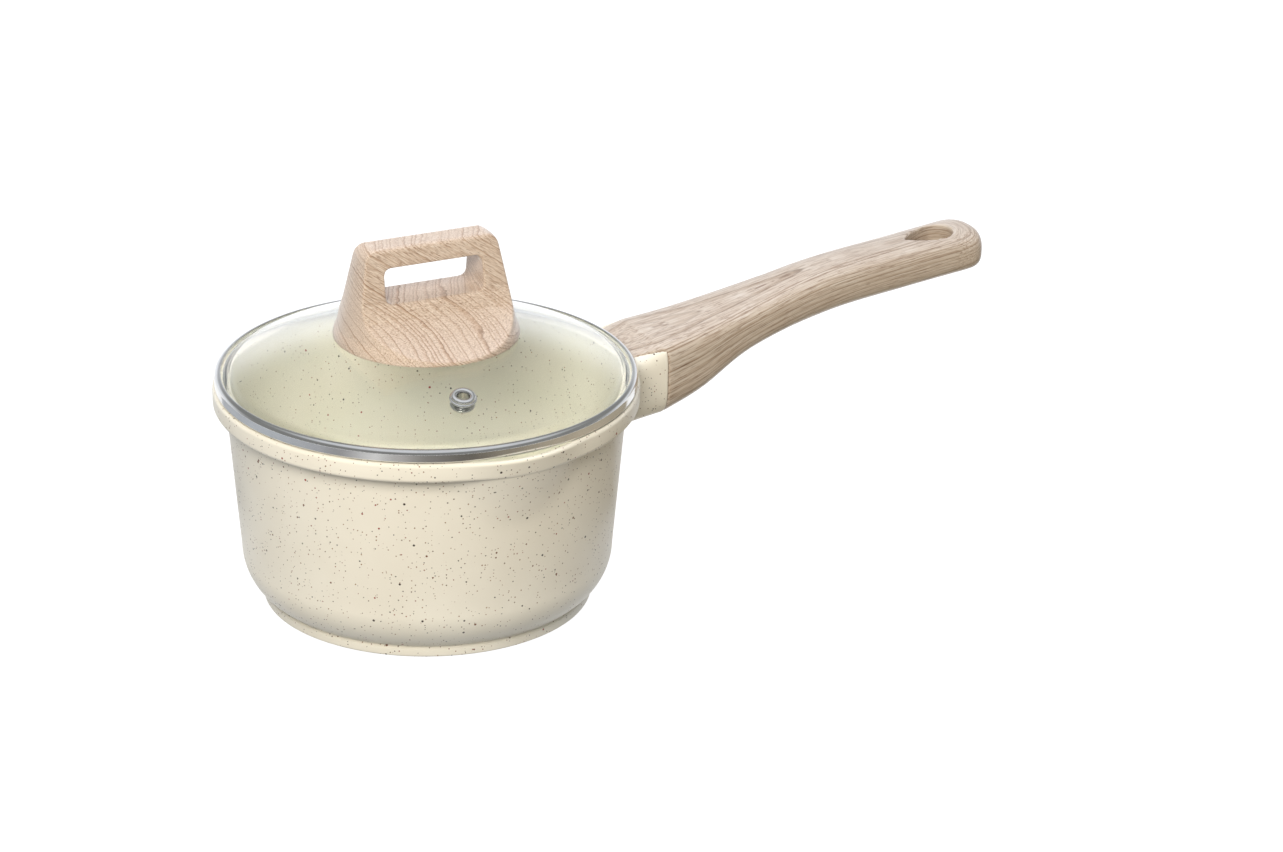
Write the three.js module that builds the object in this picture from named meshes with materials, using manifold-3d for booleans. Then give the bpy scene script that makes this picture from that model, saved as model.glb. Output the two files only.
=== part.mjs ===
// Saucepan with a glass lid: a coated cast pan with two pouring lips, a wood-look handle seated
// in a cast cradle, and a domed glass lid with a steel rim, a steam vent and a loop knob.
// Millimetres, +Z up. The origin is the middle of the underside and +X runs along the handle.
import * as THREE from "three";
import { mergeVertices } from "three/addons/utils/BufferGeometryUtils.js";
import Module from "manifold-3d";

const wasm = await Module();
wasm.setup();

// Pan bowl
const BOWL_RADIUS = 80; // inside radius at the rim
const PAN_HEIGHT = 92; // underside to the top of the rim
const WALL = 2.6;
const WALL_SETBACK = 1.2; // how far the wall starts inside the rim's own thickness
const FLOOR = 4; // cast floor above the base plate's recess
const WALL_TAPER = 5.2; // how much narrower the wall is at the top of its lower curve
const CURVE_HEIGHT = 20.5; // height of the curve between the wall and the foot
const CURVE_INSET = 18.2;
const RIM_LIP = 6.8; // how far the rim band reaches beyond the inside radius
const BAND_HEIGHT = 8;
const BAND_ROUND = 1.4;
const BAND_UNDER_ROUND = 1.8;
const FOOT_INSET = 13.8; // from the wall under the band to the foot
const FOOT_HEIGHT = 3.6;
const FOOT_GROOVE = 1.9; // height of the groove between the foot and the lower curve
const INSIDE_ROUND = 16; // the round between the floor and the wall inside, across and up
const INSIDE_ROUND_HEIGHT = 18;

// Base plate
const PLATE_THICKNESS = 1;
const PLATE_RADIUS = 59;

// Pouring lips, one on each side of the handle
const LIP_REACH = 3.6; // how far a lip stands out past the rim band
const LIP_RADIUS = 46.5; // radius of the lip's cone at the rim
const LIP_DROP = 30; // depth below the rim at which the cone runs into the wall
const LIP_SLOPE = 11.4; // how much the cone narrows over that depth
const LIP_WALL = 3;

// Lug and handle
const LUG_REACH = 14.7; // rim band to the seam between lug and handle
const LUG_HALF_WIDTH = 25.5; // where the lug's sides start, inside the wall
const LUG_DROP = 3; // how much deeper the lug is there than at the seam
const CHEEK_AT_PAN = 8.5;
const CHEEK_AT_SEAM = 1.8;
const CRADLE_DEPTH = 22.5; // rim to the floor of the cradle
const HANDLE_LENGTH = 162; // seam to tip
const TIP_ROUND = 11; // length over which the tip rounds off
const TIP_THINNING = 3; // how much the tip loses above and below
const HANG_POINT = 34; // tip to the pointed end of the hanging hole
const HANG_END = 10.5; // tip to the round end of the hanging hole
const HANG_RADIUS = 7.6;
const HANG_TAPER = 7; // how far the hole's sides start to close before its round end

// Lid
const RING_SHEET = 0.5;
const RING_ROUND = 2; // roll of the ring's upper outer edge
const RING_LEG = 2.6; // width of the rim ring seen from above
const RING_SETBACK = 0.8; // how far the ring stays inside the rim band
const GLASS = 3.2;
const DOME_RISE = 19.5;
const LINER = 0.3;
const VENT_RADIUS = 58.6; // distance of the steam vent from the middle
const VENT_ANGLE = -99;
const VENT_BORE = 2.4;
const VENT_SHEET = 0.5;
const VENT_FLANGE = 5.5;
const VENT_FLANGE_HEIGHT = 0.6;
const VENT_COLLAR = 4.9; // radius of the raised collar on the flange
const VENT_HEIGHT = 2.1; // flange's underside to the top of the collar
const VENT_TAIL = 4.6; // radius of the sleeve's rolled end under the glass
const VENT_GASKET = 0.4;
const VENT_WASHER = 0.5;
const LID_TURN = -4; // degrees that the lid happens to be turned on the pan

// Knob
const KNOB_RADIUS = 37;
const KNOB_HEIGHT = 41;
const KNOB_TOP_RADIUS = 28.9; // the loop's ends are part of a cone that narrows to this
const KNOB_SHOULDER = 6; // round at the loop's top corners
const KNOB_FLARE = 0.9; // how far the foot of the cone swells past the skirt's edge
const LOOP_TOP_THICKNESS = 13;
const LOOP_BASE_THICKNESS = 28;
const BAR = 8; // thickness of the loop's top bar
const WINDOW_HALF = 21.3;
const WINDOW_HEIGHT = 14.6;
const WINDOW_ROUND = 3;
const KNOB_SHELL = 3.5;
const KNOB_CREASE = 12.5; // base to the crease between loop and skirt
const CREASE_STEP = 3.8; // how far the loop's face steps in just above the crease
const CREASE_RISE = 6;

// Fasteners
const SCREW_RADIUS = 2.5;
const SCREW_HEAD_RADIUS = 4.5;
const SCREW_HEAD_HEIGHT = 2.6;
const SCREW_HEAD_ROUND = 1.6;
const SCREW_POINT = 0.8; // chamfer of the screw's end
const CROSS_LENGTH = 4.6;
const CROSS_WIDTH = 1;
const CROSS_DEPTH = 1.3;
const COUNTERBORE_DEPTH = 3.2; // of the handle screw's head into the lug's underside
const INSERT_RADIUS = 4;
const INSERT_LENGTH = 10;
const WASHER = 1;
const GASKET = 1.5;
const GASKET_RADIUS = 10;
const GLASS_HOLE = 4;
const KNOB_WASHER_RADIUS = 7.5;

// Fits
const FIT = 0.3; // gap between pieces that meet
const VENT_FIT = 0.15; // gap on either side of the vent's gasket and washer
const TURNED_FIT = 0.1; // gap between turned pieces that share an axis
const BORE_FIT = 0.35; // radial play of a screw in a hole
const AROUND = 48; // facets round the pan and the lid
const SMALL_AROUND = 16; // facets round the fasteners

// Places worked out from the sizes above
const rimRadius = BOWL_RADIUS + RIM_LIP;
const wallTopRadius = BOWL_RADIUS + WALL - WALL_SETBACK;
const wallLowRadius = wallTopRadius - WALL_TAPER;
const footRadius = wallTopRadius - FOOT_INSET;
const curveTop = CURVE_HEIGHT + FOOT_GROOVE;
const bandBottom = PAN_HEIGHT - BAND_HEIGHT;
const seamX = rimRadius + LUG_REACH;
const lugStart = Math.sqrt(wallLowRadius ** 2 - LUG_HALF_WIDTH ** 2) - 2; // inside the wall all round
const cradleFloor = PAN_HEIGHT - CRADLE_DEPTH;
const screwX = rimRadius + 0.55 * LUG_REACH;
const ringRadius = rimRadius - RING_SETBACK;
const ringBottom = PAN_HEIGHT + FIT;
const ringGap = RING_SHEET + LINER + 2 * TURNED_FIT; // from the ring's outside to the glass
const ringTop = ringBottom + GLASS + 2 * ringGap;
const glassRadius = ringRadius - ringGap;
const glassEdgeBottom = ringBottom + ringGap;
const domeRadius = (glassRadius ** 2 + DOME_RISE ** 2) / (2 * DOME_RISE);
const domeApex = glassEdgeBottom + GLASS + DOME_RISE;
const domeCentre = domeApex - domeRadius;
const bossBottom = domeApex + GASKET + 2 * FIT;

const colours = {
  coating: { color: "#e6dfcb", roughness: 0.45, metalness: 0 },
  wood: { color: "#cfae8d", roughness: 0.55, metalness: 0 },
  steel: { color: "#b9bcc0", roughness: 0.25, metalness: 1 },
  brass: { color: "#c8a558", roughness: 0.35, metalness: 1 },
  glass: { color: "#e4efef", roughness: 0.05, metalness: 0 },
  silicone: { color: "#e9e9e6", roughness: 0.6, metalness: 0 },
};

function point(r, z) {
  return new THREE.Vector2(r, z);
}

// Points on an arc, from one angle to the other in degrees.
function arc(r, z, radiusR, radiusZ, from, to, steps) {
  const points = [];
  for (let i = 0; i <= steps; i++) {
    const angle = THREE.MathUtils.degToRad(from + ((to - from) * i) / steps);
    points.push(point(r + radiusR * Math.cos(angle), z + radiusZ * Math.sin(angle)));
  }
  return points;
}

// A turned piece about Z. The profile runs up the outside, from the axis or closed on itself.
function turned(profile, segments = AROUND) {
  return new THREE.LatheGeometry(profile, segments).rotateX(Math.PI / 2);
}

function tube(inner, outer, bottom, top, segments = SMALL_AROUND) {
  return turned(
    [
      point(inner, bottom),
      point(outer, bottom),
      point(outer, top),
      point(inner, top),
      point(inner, bottom),
    ],
    segments,
  );
}

function rod(radius, bottom, top, segments = SMALL_AROUND) {
  return turned([point(0, bottom), point(radius, bottom), point(radius, top), point(0, top)], segments);
}

function solid(geometry) {
  const bare = geometry.clone();
  bare.deleteAttribute("normal");
  bare.deleteAttribute("uv");
  const merged = mergeVertices(bare, 1e-4);
  return new wasm.Manifold(
    new wasm.Mesh({
      numProp: 3,
      vertProperties: merged.attributes.position.array,
      triVerts: new Uint32Array(merged.index.array),
    }),
  );
}

function geometryOf(body) {
  const made = body.getMesh();
  const geometry = new THREE.BufferGeometry();
  geometry.setAttribute("position", new THREE.BufferAttribute(made.vertProperties, 3));
  geometry.setIndex(new THREE.BufferAttribute(made.triVerts, 1));
  geometry.computeVertexNormals();
  return geometry;
}

function piece(name, shape, colour) {
  const geometry = shape.isBufferGeometry ? shape : geometryOf(shape);
  const mesh = new THREE.Mesh(geometry, new THREE.MeshStandardMaterial(colour));
  mesh.name = name;
  return mesh;
}

// A flat outline pushed up along Z from one height to another.
function prism(outline, bottom, top) {
  return new THREE.ExtrudeGeometry(outline, {
    depth: top - bottom,
    bevelEnabled: false,
    curveSegments: 6,
  }).translate(0, 0, bottom);
}

// Exact zero for a value that only rounding keeps from it.
function snap(value) {
  return Math.abs(value) < 1e-6 ? 0 : value;
}

// A solid drawn through cross-sections: sectionAt(t) gives { x, top, bottom, half, square } and
// the section is square-shouldered above and rounder below its widest line.
function loft(sectionAt, steps, sides) {
  const skin = new THREE.CylinderGeometry(1, 1, 1, sides, steps);
  const place = skin.attributes.position;
  for (let i = 0; i < place.count; i++) {
    const section = sectionAt(THREE.MathUtils.clamp(place.getY(i) + 0.5, 0, 1));
    const across = -snap(place.getX(i));
    const up = snap(place.getZ(i));
    const reach = Math.hypot(across, up);
    const widest = section.bottom + 0.52 * (section.top - section.bottom);
    const power = 2 / (up > 0 ? section.square : section.round);
    const bend = (v) => Math.sign(v) * Math.abs(v) ** power * reach;
    const ratio = reach > 0 ? reach : 1;
    const y = section.half * bend(across / ratio);
    const z = (up > 0 ? section.top - widest : widest - section.bottom) * bend(up / ratio);
    place.setXYZ(i, section.x, y, widest + z);
  }
  return skin;
}

// The pan's outside and inside, as turned profiles.
function panOutside() {
  const under = BAND_UNDER_ROUND;
  return turned([
    point(0, 0),
    point(footRadius - 0.6, 0),
    point(footRadius, 0.6),
    point(footRadius, FOOT_HEIGHT),
    point(footRadius - 0.9, FOOT_HEIGHT + 0.7),
    ...arc(wallLowRadius - CURVE_INSET, curveTop, CURVE_INSET, CURVE_HEIGHT, -57, 0, 7),
    point(wallTopRadius, bandBottom - 0.9),
    point(wallTopRadius + 1, bandBottom),
    ...arc(rimRadius - under, bandBottom + under, under, under, -90, 0, 3),
    ...arc(rimRadius - BAND_ROUND, PAN_HEIGHT - BAND_ROUND, BAND_ROUND, BAND_ROUND, 0, 90, 3),
    point(0, PAN_HEIGHT),
  ]);
}

function panInside() {
  const floorTop = PLATE_THICKNESS + FIT + FLOOR;
  const inset = wallLowRadius - WALL;
  return turned([
    point(0, floorTop),
    ...arc(
      inset - INSIDE_ROUND,
      floorTop + INSIDE_ROUND_HEIGHT,
      INSIDE_ROUND,
      INSIDE_ROUND_HEIGHT,
      -90,
      0,
      6,
    ),
    point(wallTopRadius - WALL, bandBottom),
    point(BOWL_RADIUS, PAN_HEIGHT - 1),
    point(BOWL_RADIUS + 0.6, PAN_HEIGHT),
    point(BOWL_RADIUS + 0.6, PAN_HEIGHT + 2),
    point(0, PAN_HEIGHT + 2),
  ]);
}

// The cone that bulges the wall out into a pouring lip. It is smaller by the wall on the inside.
function lipCone(thinner, top) {
  const low = LIP_RADIUS - LIP_SLOPE - thinner;
  const high = LIP_RADIUS - thinner;
  return turned(
    [
      point(0, PAN_HEIGHT - LIP_DROP),
      point(low, PAN_HEIGHT - LIP_DROP),
      point(high, PAN_HEIGHT),
      point(high, top),
      point(0, top),
    ],
    48,
  );
}

function lips(thinner, top) {
  const out = rimRadius + LIP_REACH - LIP_RADIUS;
  const near = solid(lipCone(thinner, top).translate(0, -out, 0));
  const far = solid(lipCone(thinner, top).translate(0, out, 0));
  return near.add(far);
}

// Cross-section of the lug, from inside the pan's wall (t = 0) to the seam (t = 1).
function lugSection(t) {
  const end = handleSection(0);
  const start = { top: PAN_HEIGHT - 0.2, bottom: end.bottom - LUG_DROP, half: LUG_HALF_WIDTH };
  const ease = t ** 0.6;
  const x = THREE.MathUtils.lerp(lugStart, seamX, t);
  const outside = Math.max(0, (x - rimRadius) / LUG_REACH);
  return {
    x,
    top: THREE.MathUtils.lerp(start.top, end.top, outside),
    bottom: THREE.MathUtils.lerp(start.bottom, end.bottom, ease),
    half: THREE.MathUtils.lerp(start.half, end.half, ease),
    square: end.square,
    round: end.round,
  };
}

// Stations along the handle: distance from the seam as a share of its length, top and bottom
// above the rim, and half width. A smooth curve joins them.
const stations = [
  [0, 3.2, -29.5, 21.3],
  [0.12, 5.6, -23.1, 19.6],
  [0.28, 10.3, -10.2, 16.8],
  [0.52, 18, -1.6, 14.3],
  [0.77, 21.3, 2.6, 14.6],
  [1, 23.6, 6.2, 16.4],
];
const topLine = new THREE.SplineCurve(stations.map(([share, top]) => point(share, top)));
const bottomLine = new THREE.SplineCurve(stations.map(([share, , bottom]) => point(share, bottom)));
const widthLine = new THREE.SplineCurve(stations.map(([share, , , half]) => point(share, half)));

function handleSection(t) {
  const share = topLine.getPoint(t).x;
  const toTip = (1 - share) * HANDLE_LENGTH;
  const into = Math.max(0, 1 - toTip / TIP_ROUND);
  const narrowing = (1 - into ** 3) ** (1 / 3);
  const top = PAN_HEIGHT + topLine.getPoint(t).y;
  const bottom = PAN_HEIGHT + bottomLine.getPoint(t).y;
  const thinning = TIP_THINNING * (1 - (1 - into ** 4) ** 0.25);
  return {
    x: seamX + share * HANDLE_LENGTH,
    top: top - thinning,
    bottom: bottom + thinning,
    half: widthLine.getPoint(t).y * Math.max(narrowing, 0.3),
    square: THREE.MathUtils.lerp(6, 3, Math.min(1, share * 2.5)),
    round: THREE.MathUtils.lerp(3.6, 2.6, Math.min(1, share * 2.5)),
  };
}

// Plan of the cradle that the handle's tongue fills: narrow at the pan and wide at the seam.
function cradlePlan(play) {
  const start = rimRadius - 2;
  const narrow = LUG_HALF_WIDTH - CHEEK_AT_PAN - CHEEK_AT_SEAM + play;
  const wide = handleSection(0).half - CHEEK_AT_SEAM + play;
  const end = seamX + 1;
  const outline = new THREE.Shape();
  outline.moveTo(start, -narrow);
  outline.lineTo(end, -wide);
  outline.lineTo(end, wide);
  outline.lineTo(start, narrow);
  outline.closePath();
  return outline;
}

function pan() {
  const lug = solid(loft((t) => lugSection(Math.min(t, 1 - FIT / 2 / LUG_REACH)), 6, 30));
  const cradle = solid(prism(cradlePlan(FIT), cradleFloor, PAN_HEIGHT + 20));
  const keepWall = solid(turned([
    point(0, 0),
    point(rimRadius, 0),
    point(rimRadius, PAN_HEIGHT + 30),
    point(0, PAN_HEIGHT + 30),
  ]));
  const screwHole = solid(rod(SCREW_RADIUS + BORE_FIT, 0, PAN_HEIGHT).translate(screwX, 0, 0));
  const lugBottom = handleSection(0).bottom;
  const sink = rod(SCREW_HEAD_RADIUS + 1, 0, lugBottom + COUNTERBORE_DEPTH);
  const counterbore = solid(sink.translate(screwX, 0, 0));
  const recess = solid(rod(PLATE_RADIUS + FIT, -1, PLATE_THICKNESS + FIT, AROUND));
  return solid(panOutside())
    .add(lips(0, PAN_HEIGHT))
    .add(lug.subtract(cradle.subtract(keepWall)).subtract(screwHole).subtract(counterbore))
    .subtract(solid(panInside()))
    .subtract(lips(LIP_WALL, PAN_HEIGHT + 2))
    .subtract(recess);
}

function basePlate() {
  return rod(PLATE_RADIUS, 0, PLATE_THICKNESS, AROUND);
}

// The hanging hole: a round end towards the tip and a point towards the pan.
function hangPlan() {
  const tip = seamX + HANDLE_LENGTH;
  const middle = tip - HANG_END - HANG_RADIUS;
  const outline = new THREE.Shape();
  outline.moveTo(tip - HANG_POINT, 0);
  outline.quadraticCurveTo(middle - HANG_TAPER, -HANG_RADIUS, middle, -HANG_RADIUS);
  outline.absarc(middle, 0, HANG_RADIUS, -Math.PI / 2, Math.PI / 2, false);
  outline.quadraticCurveTo(middle - HANG_TAPER, HANG_RADIUS, tip - HANG_POINT, 0);
  return outline;
}

function handleGrip() {
  const start = FIT / 2 / HANDLE_LENGTH;
  const grip = solid(loft((t) => handleSection(Math.max(t, start)), 24, 30));
  const skirt = solid(loft((t) => lugSection(t), 6, 30));
  const room = solid(prism(cradlePlan(0), cradleFloor + FIT, PAN_HEIGHT + 20));
  const core = solid(prism(cradlePlan(0), cradleFloor + FIT, PAN_HEIGHT - 3));
  const panClear = solid(rod(rimRadius + FIT, 0, PAN_HEIGHT + 30, AROUND));
  const tongue = skirt.intersect(room).add(core).subtract(panClear);
  const bore = solid(rod(INSERT_RADIUS + TURNED_FIT, 0, insertTop() + FIT).translate(screwX, 0, 0));
  const hang = solid(prism(hangPlan(), 0, PAN_HEIGHT + 60));
  return grip.add(tongue).subtract(bore).subtract(hang);
}

function insertTop() {
  return cradleFloor + 2 * FIT + INSERT_LENGTH;
}

function handleInsert() {
  const inner = SCREW_RADIUS + TURNED_FIT;
  return tube(inner, INSERT_RADIUS, cradleFloor + 2 * FIT, insertTop()).translate(screwX, 0, 0);
}

// A pan-head screw that points up: its head's underside is at the given height.
function screw(seat, tip) {
  const head = seat - SCREW_HEAD_HEIGHT;
  return turned(
    [
      point(0, head),
      point(SCREW_HEAD_RADIUS - SCREW_HEAD_ROUND, head),
      point(SCREW_HEAD_RADIUS, head + SCREW_HEAD_ROUND - 0.2),
      point(SCREW_HEAD_RADIUS, seat),
      point(SCREW_RADIUS, seat),
      point(SCREW_RADIUS, tip - SCREW_POINT),
      point(SCREW_RADIUS - SCREW_POINT, tip),
      point(0, tip),
    ],
    SMALL_AROUND,
  );
}

function crossSlot(bottom) {
  const wide = new THREE.BoxGeometry(CROSS_LENGTH, CROSS_WIDTH, 2 * CROSS_DEPTH);
  const slots = solid(wide).add(solid(wide.clone().rotateZ(Math.PI / 2)));
  return slots.translate([0, 0, bottom]);
}

function screwPiece(seat, tip) {
  return solid(screw(seat, tip)).subtract(crossSlot(seat - SCREW_HEAD_HEIGHT));
}

function handleFasteners() {
  const group = new THREE.Group();
  const washerTop = handleSection(0).bottom + COUNTERBORE_DEPTH - FIT;
  const seat = washerTop - WASHER - FIT;
  const washer = tube(SCREW_RADIUS + BORE_FIT, SCREW_HEAD_RADIUS + 0.4, washerTop - WASHER, washerTop);
  group.add(piece("handle_screw", screwPiece(seat, insertTop() - 1), colours.steel));
  group.add(piece("handle_lock_washer", washer, colours.steel));
  group.position.x = screwX;
  return group;
}

// Upper outer corner of a piece in the rim's section, set in from the ring's own outside.
function rolledCorner(setIn) {
  const middle = ringRadius - RING_ROUND;
  const round = RING_ROUND - setIn;
  return arc(middle, ringTop - RING_ROUND, round, round, 0, 90, 3);
}

// The lid's rim: a steel ring rolled round the glass, with a thin seal between them.
function rimRing() {
  const inside = ringRadius - RING_LEG;
  const round = 1;
  return turned([
    point(inside, ringBottom),
    ...arc(ringRadius - round, ringBottom + round, round, round, -90, 0, 2),
    ...rolledCorner(0),
    point(inside, ringTop),
    point(inside, ringTop - RING_SHEET),
    ...rolledCorner(RING_SHEET).reverse(),
    point(ringRadius - RING_SHEET, ringBottom + RING_SHEET),
    point(inside, ringBottom + RING_SHEET),
    point(inside, ringBottom),
  ]);
}

function rimSeal() {
  const setIn = RING_SHEET + TURNED_FIT;
  const outside = ringRadius - setIn;
  const inside = ringRadius - RING_LEG + 0.2;
  const low = ringBottom + setIn;
  const high = ringTop - setIn;
  return turned([
    point(inside, low),
    point(outside, low),
    ...rolledCorner(setIn),
    point(inside, high),
    point(inside, high - LINER),
    ...rolledCorner(setIn + LINER).reverse(),
    point(outside - LINER, low + LINER),
    point(inside, low + LINER),
    point(inside, low),
  ]);
}

function domeHeight(radius) {
  return domeCentre + Math.sqrt(domeRadius ** 2 - radius ** 2);
}

function domePoints(from, to, drop, steps) {
  const points = [];
  for (let i = 0; i <= steps; i++) {
    const radius = from + ((to - from) * i) / steps;
    points.push(point(radius, domeHeight(radius) - drop));
  }
  return points;
}

function lidGlass() {
  const flat = ringRadius - RING_LEG - 0.6;
  const edgeTop = glassEdgeBottom + GLASS;
  const dome = turned([
    ...domePoints(0, flat - 3, GLASS, 7),
    point(flat, glassEdgeBottom),
    point(glassRadius, glassEdgeBottom),
    ...rolledCorner(ringRadius - glassRadius),
    point(flat + 0.3, edgeTop),
    ...domePoints(flat - 2, 0, 0, 8),
  ]);
  const middle = rod(GLASS_HOLE, ringBottom, domeApex + 5);
  const vent = placeAtVent(rod(VENT_BORE + VENT_SHEET + 2 * FIT, -20, 20));
  return solid(dome).subtract(solid(middle)).subtract(solid(vent));
}

// The vent's own frame: on the dome's outside, with Z square to the glass.
function placeAtVent(geometry) {
  const tilt = Math.asin(VENT_RADIUS / domeRadius);
  return geometry
    .rotateY(tilt)
    .translate(VENT_RADIUS, 0, domeHeight(VENT_RADIUS))
    .rotateZ(THREE.MathUtils.degToRad(VENT_ANGLE));
}

function ventEyelet() {
  const tubeOutside = VENT_BORE + VENT_SHEET;
  const flangeBottom = VENT_GASKET + 2 * VENT_FIT;
  const collarTop = flangeBottom + VENT_HEIGHT;
  const tail = -GLASS - VENT_WASHER - 2 * VENT_FIT;
  return turned(
    [
      point(VENT_BORE, tail - VENT_SHEET),
      point(VENT_TAIL, tail - VENT_SHEET),
      point(VENT_TAIL, tail),
      point(tubeOutside, tail),
      point(tubeOutside, flangeBottom),
      point(VENT_FLANGE, flangeBottom),
      point(VENT_FLANGE, flangeBottom + VENT_FLANGE_HEIGHT),
      point(VENT_COLLAR, flangeBottom + VENT_FLANGE_HEIGHT + 0.2),
      point(VENT_COLLAR, collarTop - 0.5),
      point(VENT_COLLAR - 0.7, collarTop),
      point(VENT_BORE + 0.7, collarTop),
      point(VENT_BORE, collarTop - 0.6),
      point(VENT_BORE, tail - VENT_SHEET),
    ],
    24,
  );
}

function ventPieces() {
  const inner = VENT_BORE + VENT_SHEET + FIT;
  const under = -GLASS - VENT_FIT;
  const gasket = tube(inner, VENT_FLANGE - 0.5, VENT_FIT, VENT_FIT + VENT_GASKET, 24);
  const washer = tube(inner, VENT_FLANGE - 0.5, under - VENT_WASHER, under, 24);
  return [
    piece("vent_eyelet", placeAtVent(ventEyelet()), colours.steel),
    piece("vent_gasket", placeAtVent(gasket), colours.silicone),
    piece("vent_washer", placeAtVent(washer), colours.steel),
  ];
}

function windowOutline(bottom, top) {
  const outline = new THREE.Shape();
  const round = WINDOW_ROUND;
  outline.moveTo(-WINDOW_HALF + round, bottom);
  outline.lineTo(WINDOW_HALF - round, bottom);
  outline.quadraticCurveTo(WINDOW_HALF, bottom, WINDOW_HALF, bottom + round);
  outline.lineTo(WINDOW_HALF, top - round);
  outline.quadraticCurveTo(WINDOW_HALF, top, WINDOW_HALF - round, top);
  outline.lineTo(-WINDOW_HALF + round, top);
  outline.quadraticCurveTo(-WINDOW_HALF, top, -WINDOW_HALF, top - round);
  outline.lineTo(-WINDOW_HALF, bottom + round);
  outline.quadraticCurveTo(-WINDOW_HALF, bottom, -WINDOW_HALF + round, bottom);
  return outline;
}

// Side view of the knob: a slim loop whose faces sweep out below the crease into the skirt.
function sideOutline(base, crease, top) {
  const wide = LOOP_BASE_THICKNESS / 2;
  const slim = LOOP_TOP_THICKNESS / 2;
  const edge = KNOB_RADIUS + KNOB_FLARE;
  const round = 2;
  const outline = new THREE.Shape();
  outline.moveTo(-edge - 1, base - 8);
  outline.lineTo(edge + 1, base - 8);
  outline.lineTo(edge + 1, base + 1);
  outline.quadraticCurveTo(wide + 8, base + 6, wide, crease);
  outline.lineTo(wide - CREASE_STEP, crease + CREASE_RISE);
  outline.lineTo(slim + 0.3, top - round);
  outline.quadraticCurveTo(slim, top, slim - round, top);
  outline.lineTo(round - slim, top);
  outline.quadraticCurveTo(-slim, top, -slim - 0.3, top - round);
  outline.lineTo(CREASE_STEP - wide, crease + CREASE_RISE);
  outline.lineTo(-wide, crease);
  outline.quadraticCurveTo(-wide - 8, base + 6, -edge - 1, base + 1);
  outline.closePath();
  return outline;
}

// Extrudes an outline drawn as (along, up) through a thickness centred on the middle.
function upright(outline, thickness, turn) {
  return new THREE.ExtrudeGeometry(outline, { depth: thickness, bevelEnabled: false, curveSegments: 5 })
    .translate(0, 0, -thickness / 2)
    .rotateX(Math.PI / 2)
    .rotateZ(turn);
}

function knobBody() {
  const base = domeHeight(KNOB_RADIUS) + 2 * FIT;
  const top = base + KNOB_HEIGHT;
  const crease = base + KNOB_CREASE;
  const shoulder = top - KNOB_SHOULDER;
  const cone = turned([
    point(0, base - 6),
    point(KNOB_RADIUS + KNOB_FLARE, base - 6),
    point(KNOB_RADIUS + KNOB_FLARE, base + 0.8),
    point(KNOB_RADIUS - 0.6, base + 5),
    ...arc(KNOB_TOP_RADIUS - KNOB_SHOULDER + 1, shoulder, KNOB_SHOULDER, KNOB_SHOULDER, 8, 90, 4),
    point(0, top),
  ]);
  const sides = upright(sideOutline(base, crease, top), 100, Math.PI / 2);
  const windowBottom = top - BAR - WINDOW_HEIGHT;
  const window = upright(windowOutline(windowBottom, top - BAR), 80, 0);
  return solid(cone)
    .intersect(solid(sides))
    .subtract(solid(window))
    .subtract(knobUnderside())
    .subtract(knobHollow(base, crease))
    .subtract(solid(rod(INSERT_RADIUS + TURNED_FIT, bossBottom - 5, knobInsertTop() + FIT)));
}

// Room for the glass under the knob, and the flat on which its boss meets the gasket.
function knobUnderside() {
  const clear = 2 * FIT;
  const dome = solid(turned([point(0, domeApex - 30), ...domePoints(60, 0, -clear, 10)]));
  return dome.add(solid(rod(GASKET_RADIUS + 1, domeApex - 10, bossBottom)));
}

// The skirt is a shell round a solid boss. It is hollow only as far as its slope leaves room.
function knobHollow(base, crease) {
  const inner = GASKET_RADIUS + 3;
  const outer = KNOB_RADIUS - 3 * KNOB_SHELL;
  const wide = LOOP_BASE_THICKNESS / 2;
  const slope = (crease - base) / (KNOB_RADIUS - wide);
  const roof = (radius) => crease - (radius - wide) * slope - KNOB_SHELL - 1.5;
  return solid(turned([
    point(inner, base - 6),
    point(outer, base - 6),
    point(outer, roof(outer)),
    point(inner + 2, roof(inner + 2)),
    point(inner, roof(inner + 2)),
    point(inner, base - 6),
  ]));
}

function knobInsertTop() {
  return bossBottom + FIT + INSERT_LENGTH;
}

function knobFasteners() {
  const gasketBottom = domeApex + FIT;
  const underGlass = domeHeight(GASKET_RADIUS) - GLASS - FIT;
  const washerTop = underGlass - GASKET - FIT;
  const seat = washerTop - WASHER - FIT;
  const hole = SCREW_RADIUS + BORE_FIT;
  const soft = colours.silicone;
  const insert = tube(SCREW_RADIUS + TURNED_FIT, INSERT_RADIUS, bossBottom + FIT, knobInsertTop());
  return [
    piece("knob_insert", insert, colours.brass),
    piece("knob_screw", screwPiece(seat, knobInsertTop() - 1), colours.steel),
    piece("knob_washer", tube(hole, KNOB_WASHER_RADIUS, washerTop - WASHER, washerTop), colours.steel),
    piece("knob_gasket_upper", tube(hole, GASKET_RADIUS, gasketBottom, gasketBottom + GASKET), soft),
    piece("knob_gasket_lower", tube(hole, GASKET_RADIUS - 1, underGlass - GASKET, underGlass), soft),
  ];
}

function lid() {
  const group = new THREE.Group();
  group.add(piece("lid_glass", lidGlass(), colours.glass));
  group.add(piece("lid_rim_ring", rimRing(), colours.steel));
  group.add(piece("lid_rim_seal", rimSeal(), colours.silicone));
  group.add(piece("knob", knobBody(), colours.wood));
  group.add(...knobFasteners());
  group.add(...ventPieces());
  group.rotation.z = THREE.MathUtils.degToRad(LID_TURN);
  return group;
}

const saucepan = new THREE.Group();
saucepan.add(piece("pan_body", pan(), colours.coating));
saucepan.add(piece("base_plate", basePlate(), colours.steel));
saucepan.add(piece("handle_grip", handleGrip(), colours.wood));
saucepan.add(piece("handle_insert", handleInsert(), colours.brass));
saucepan.add(handleFasteners());
saucepan.add(lid());

export default saucepan;
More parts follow.
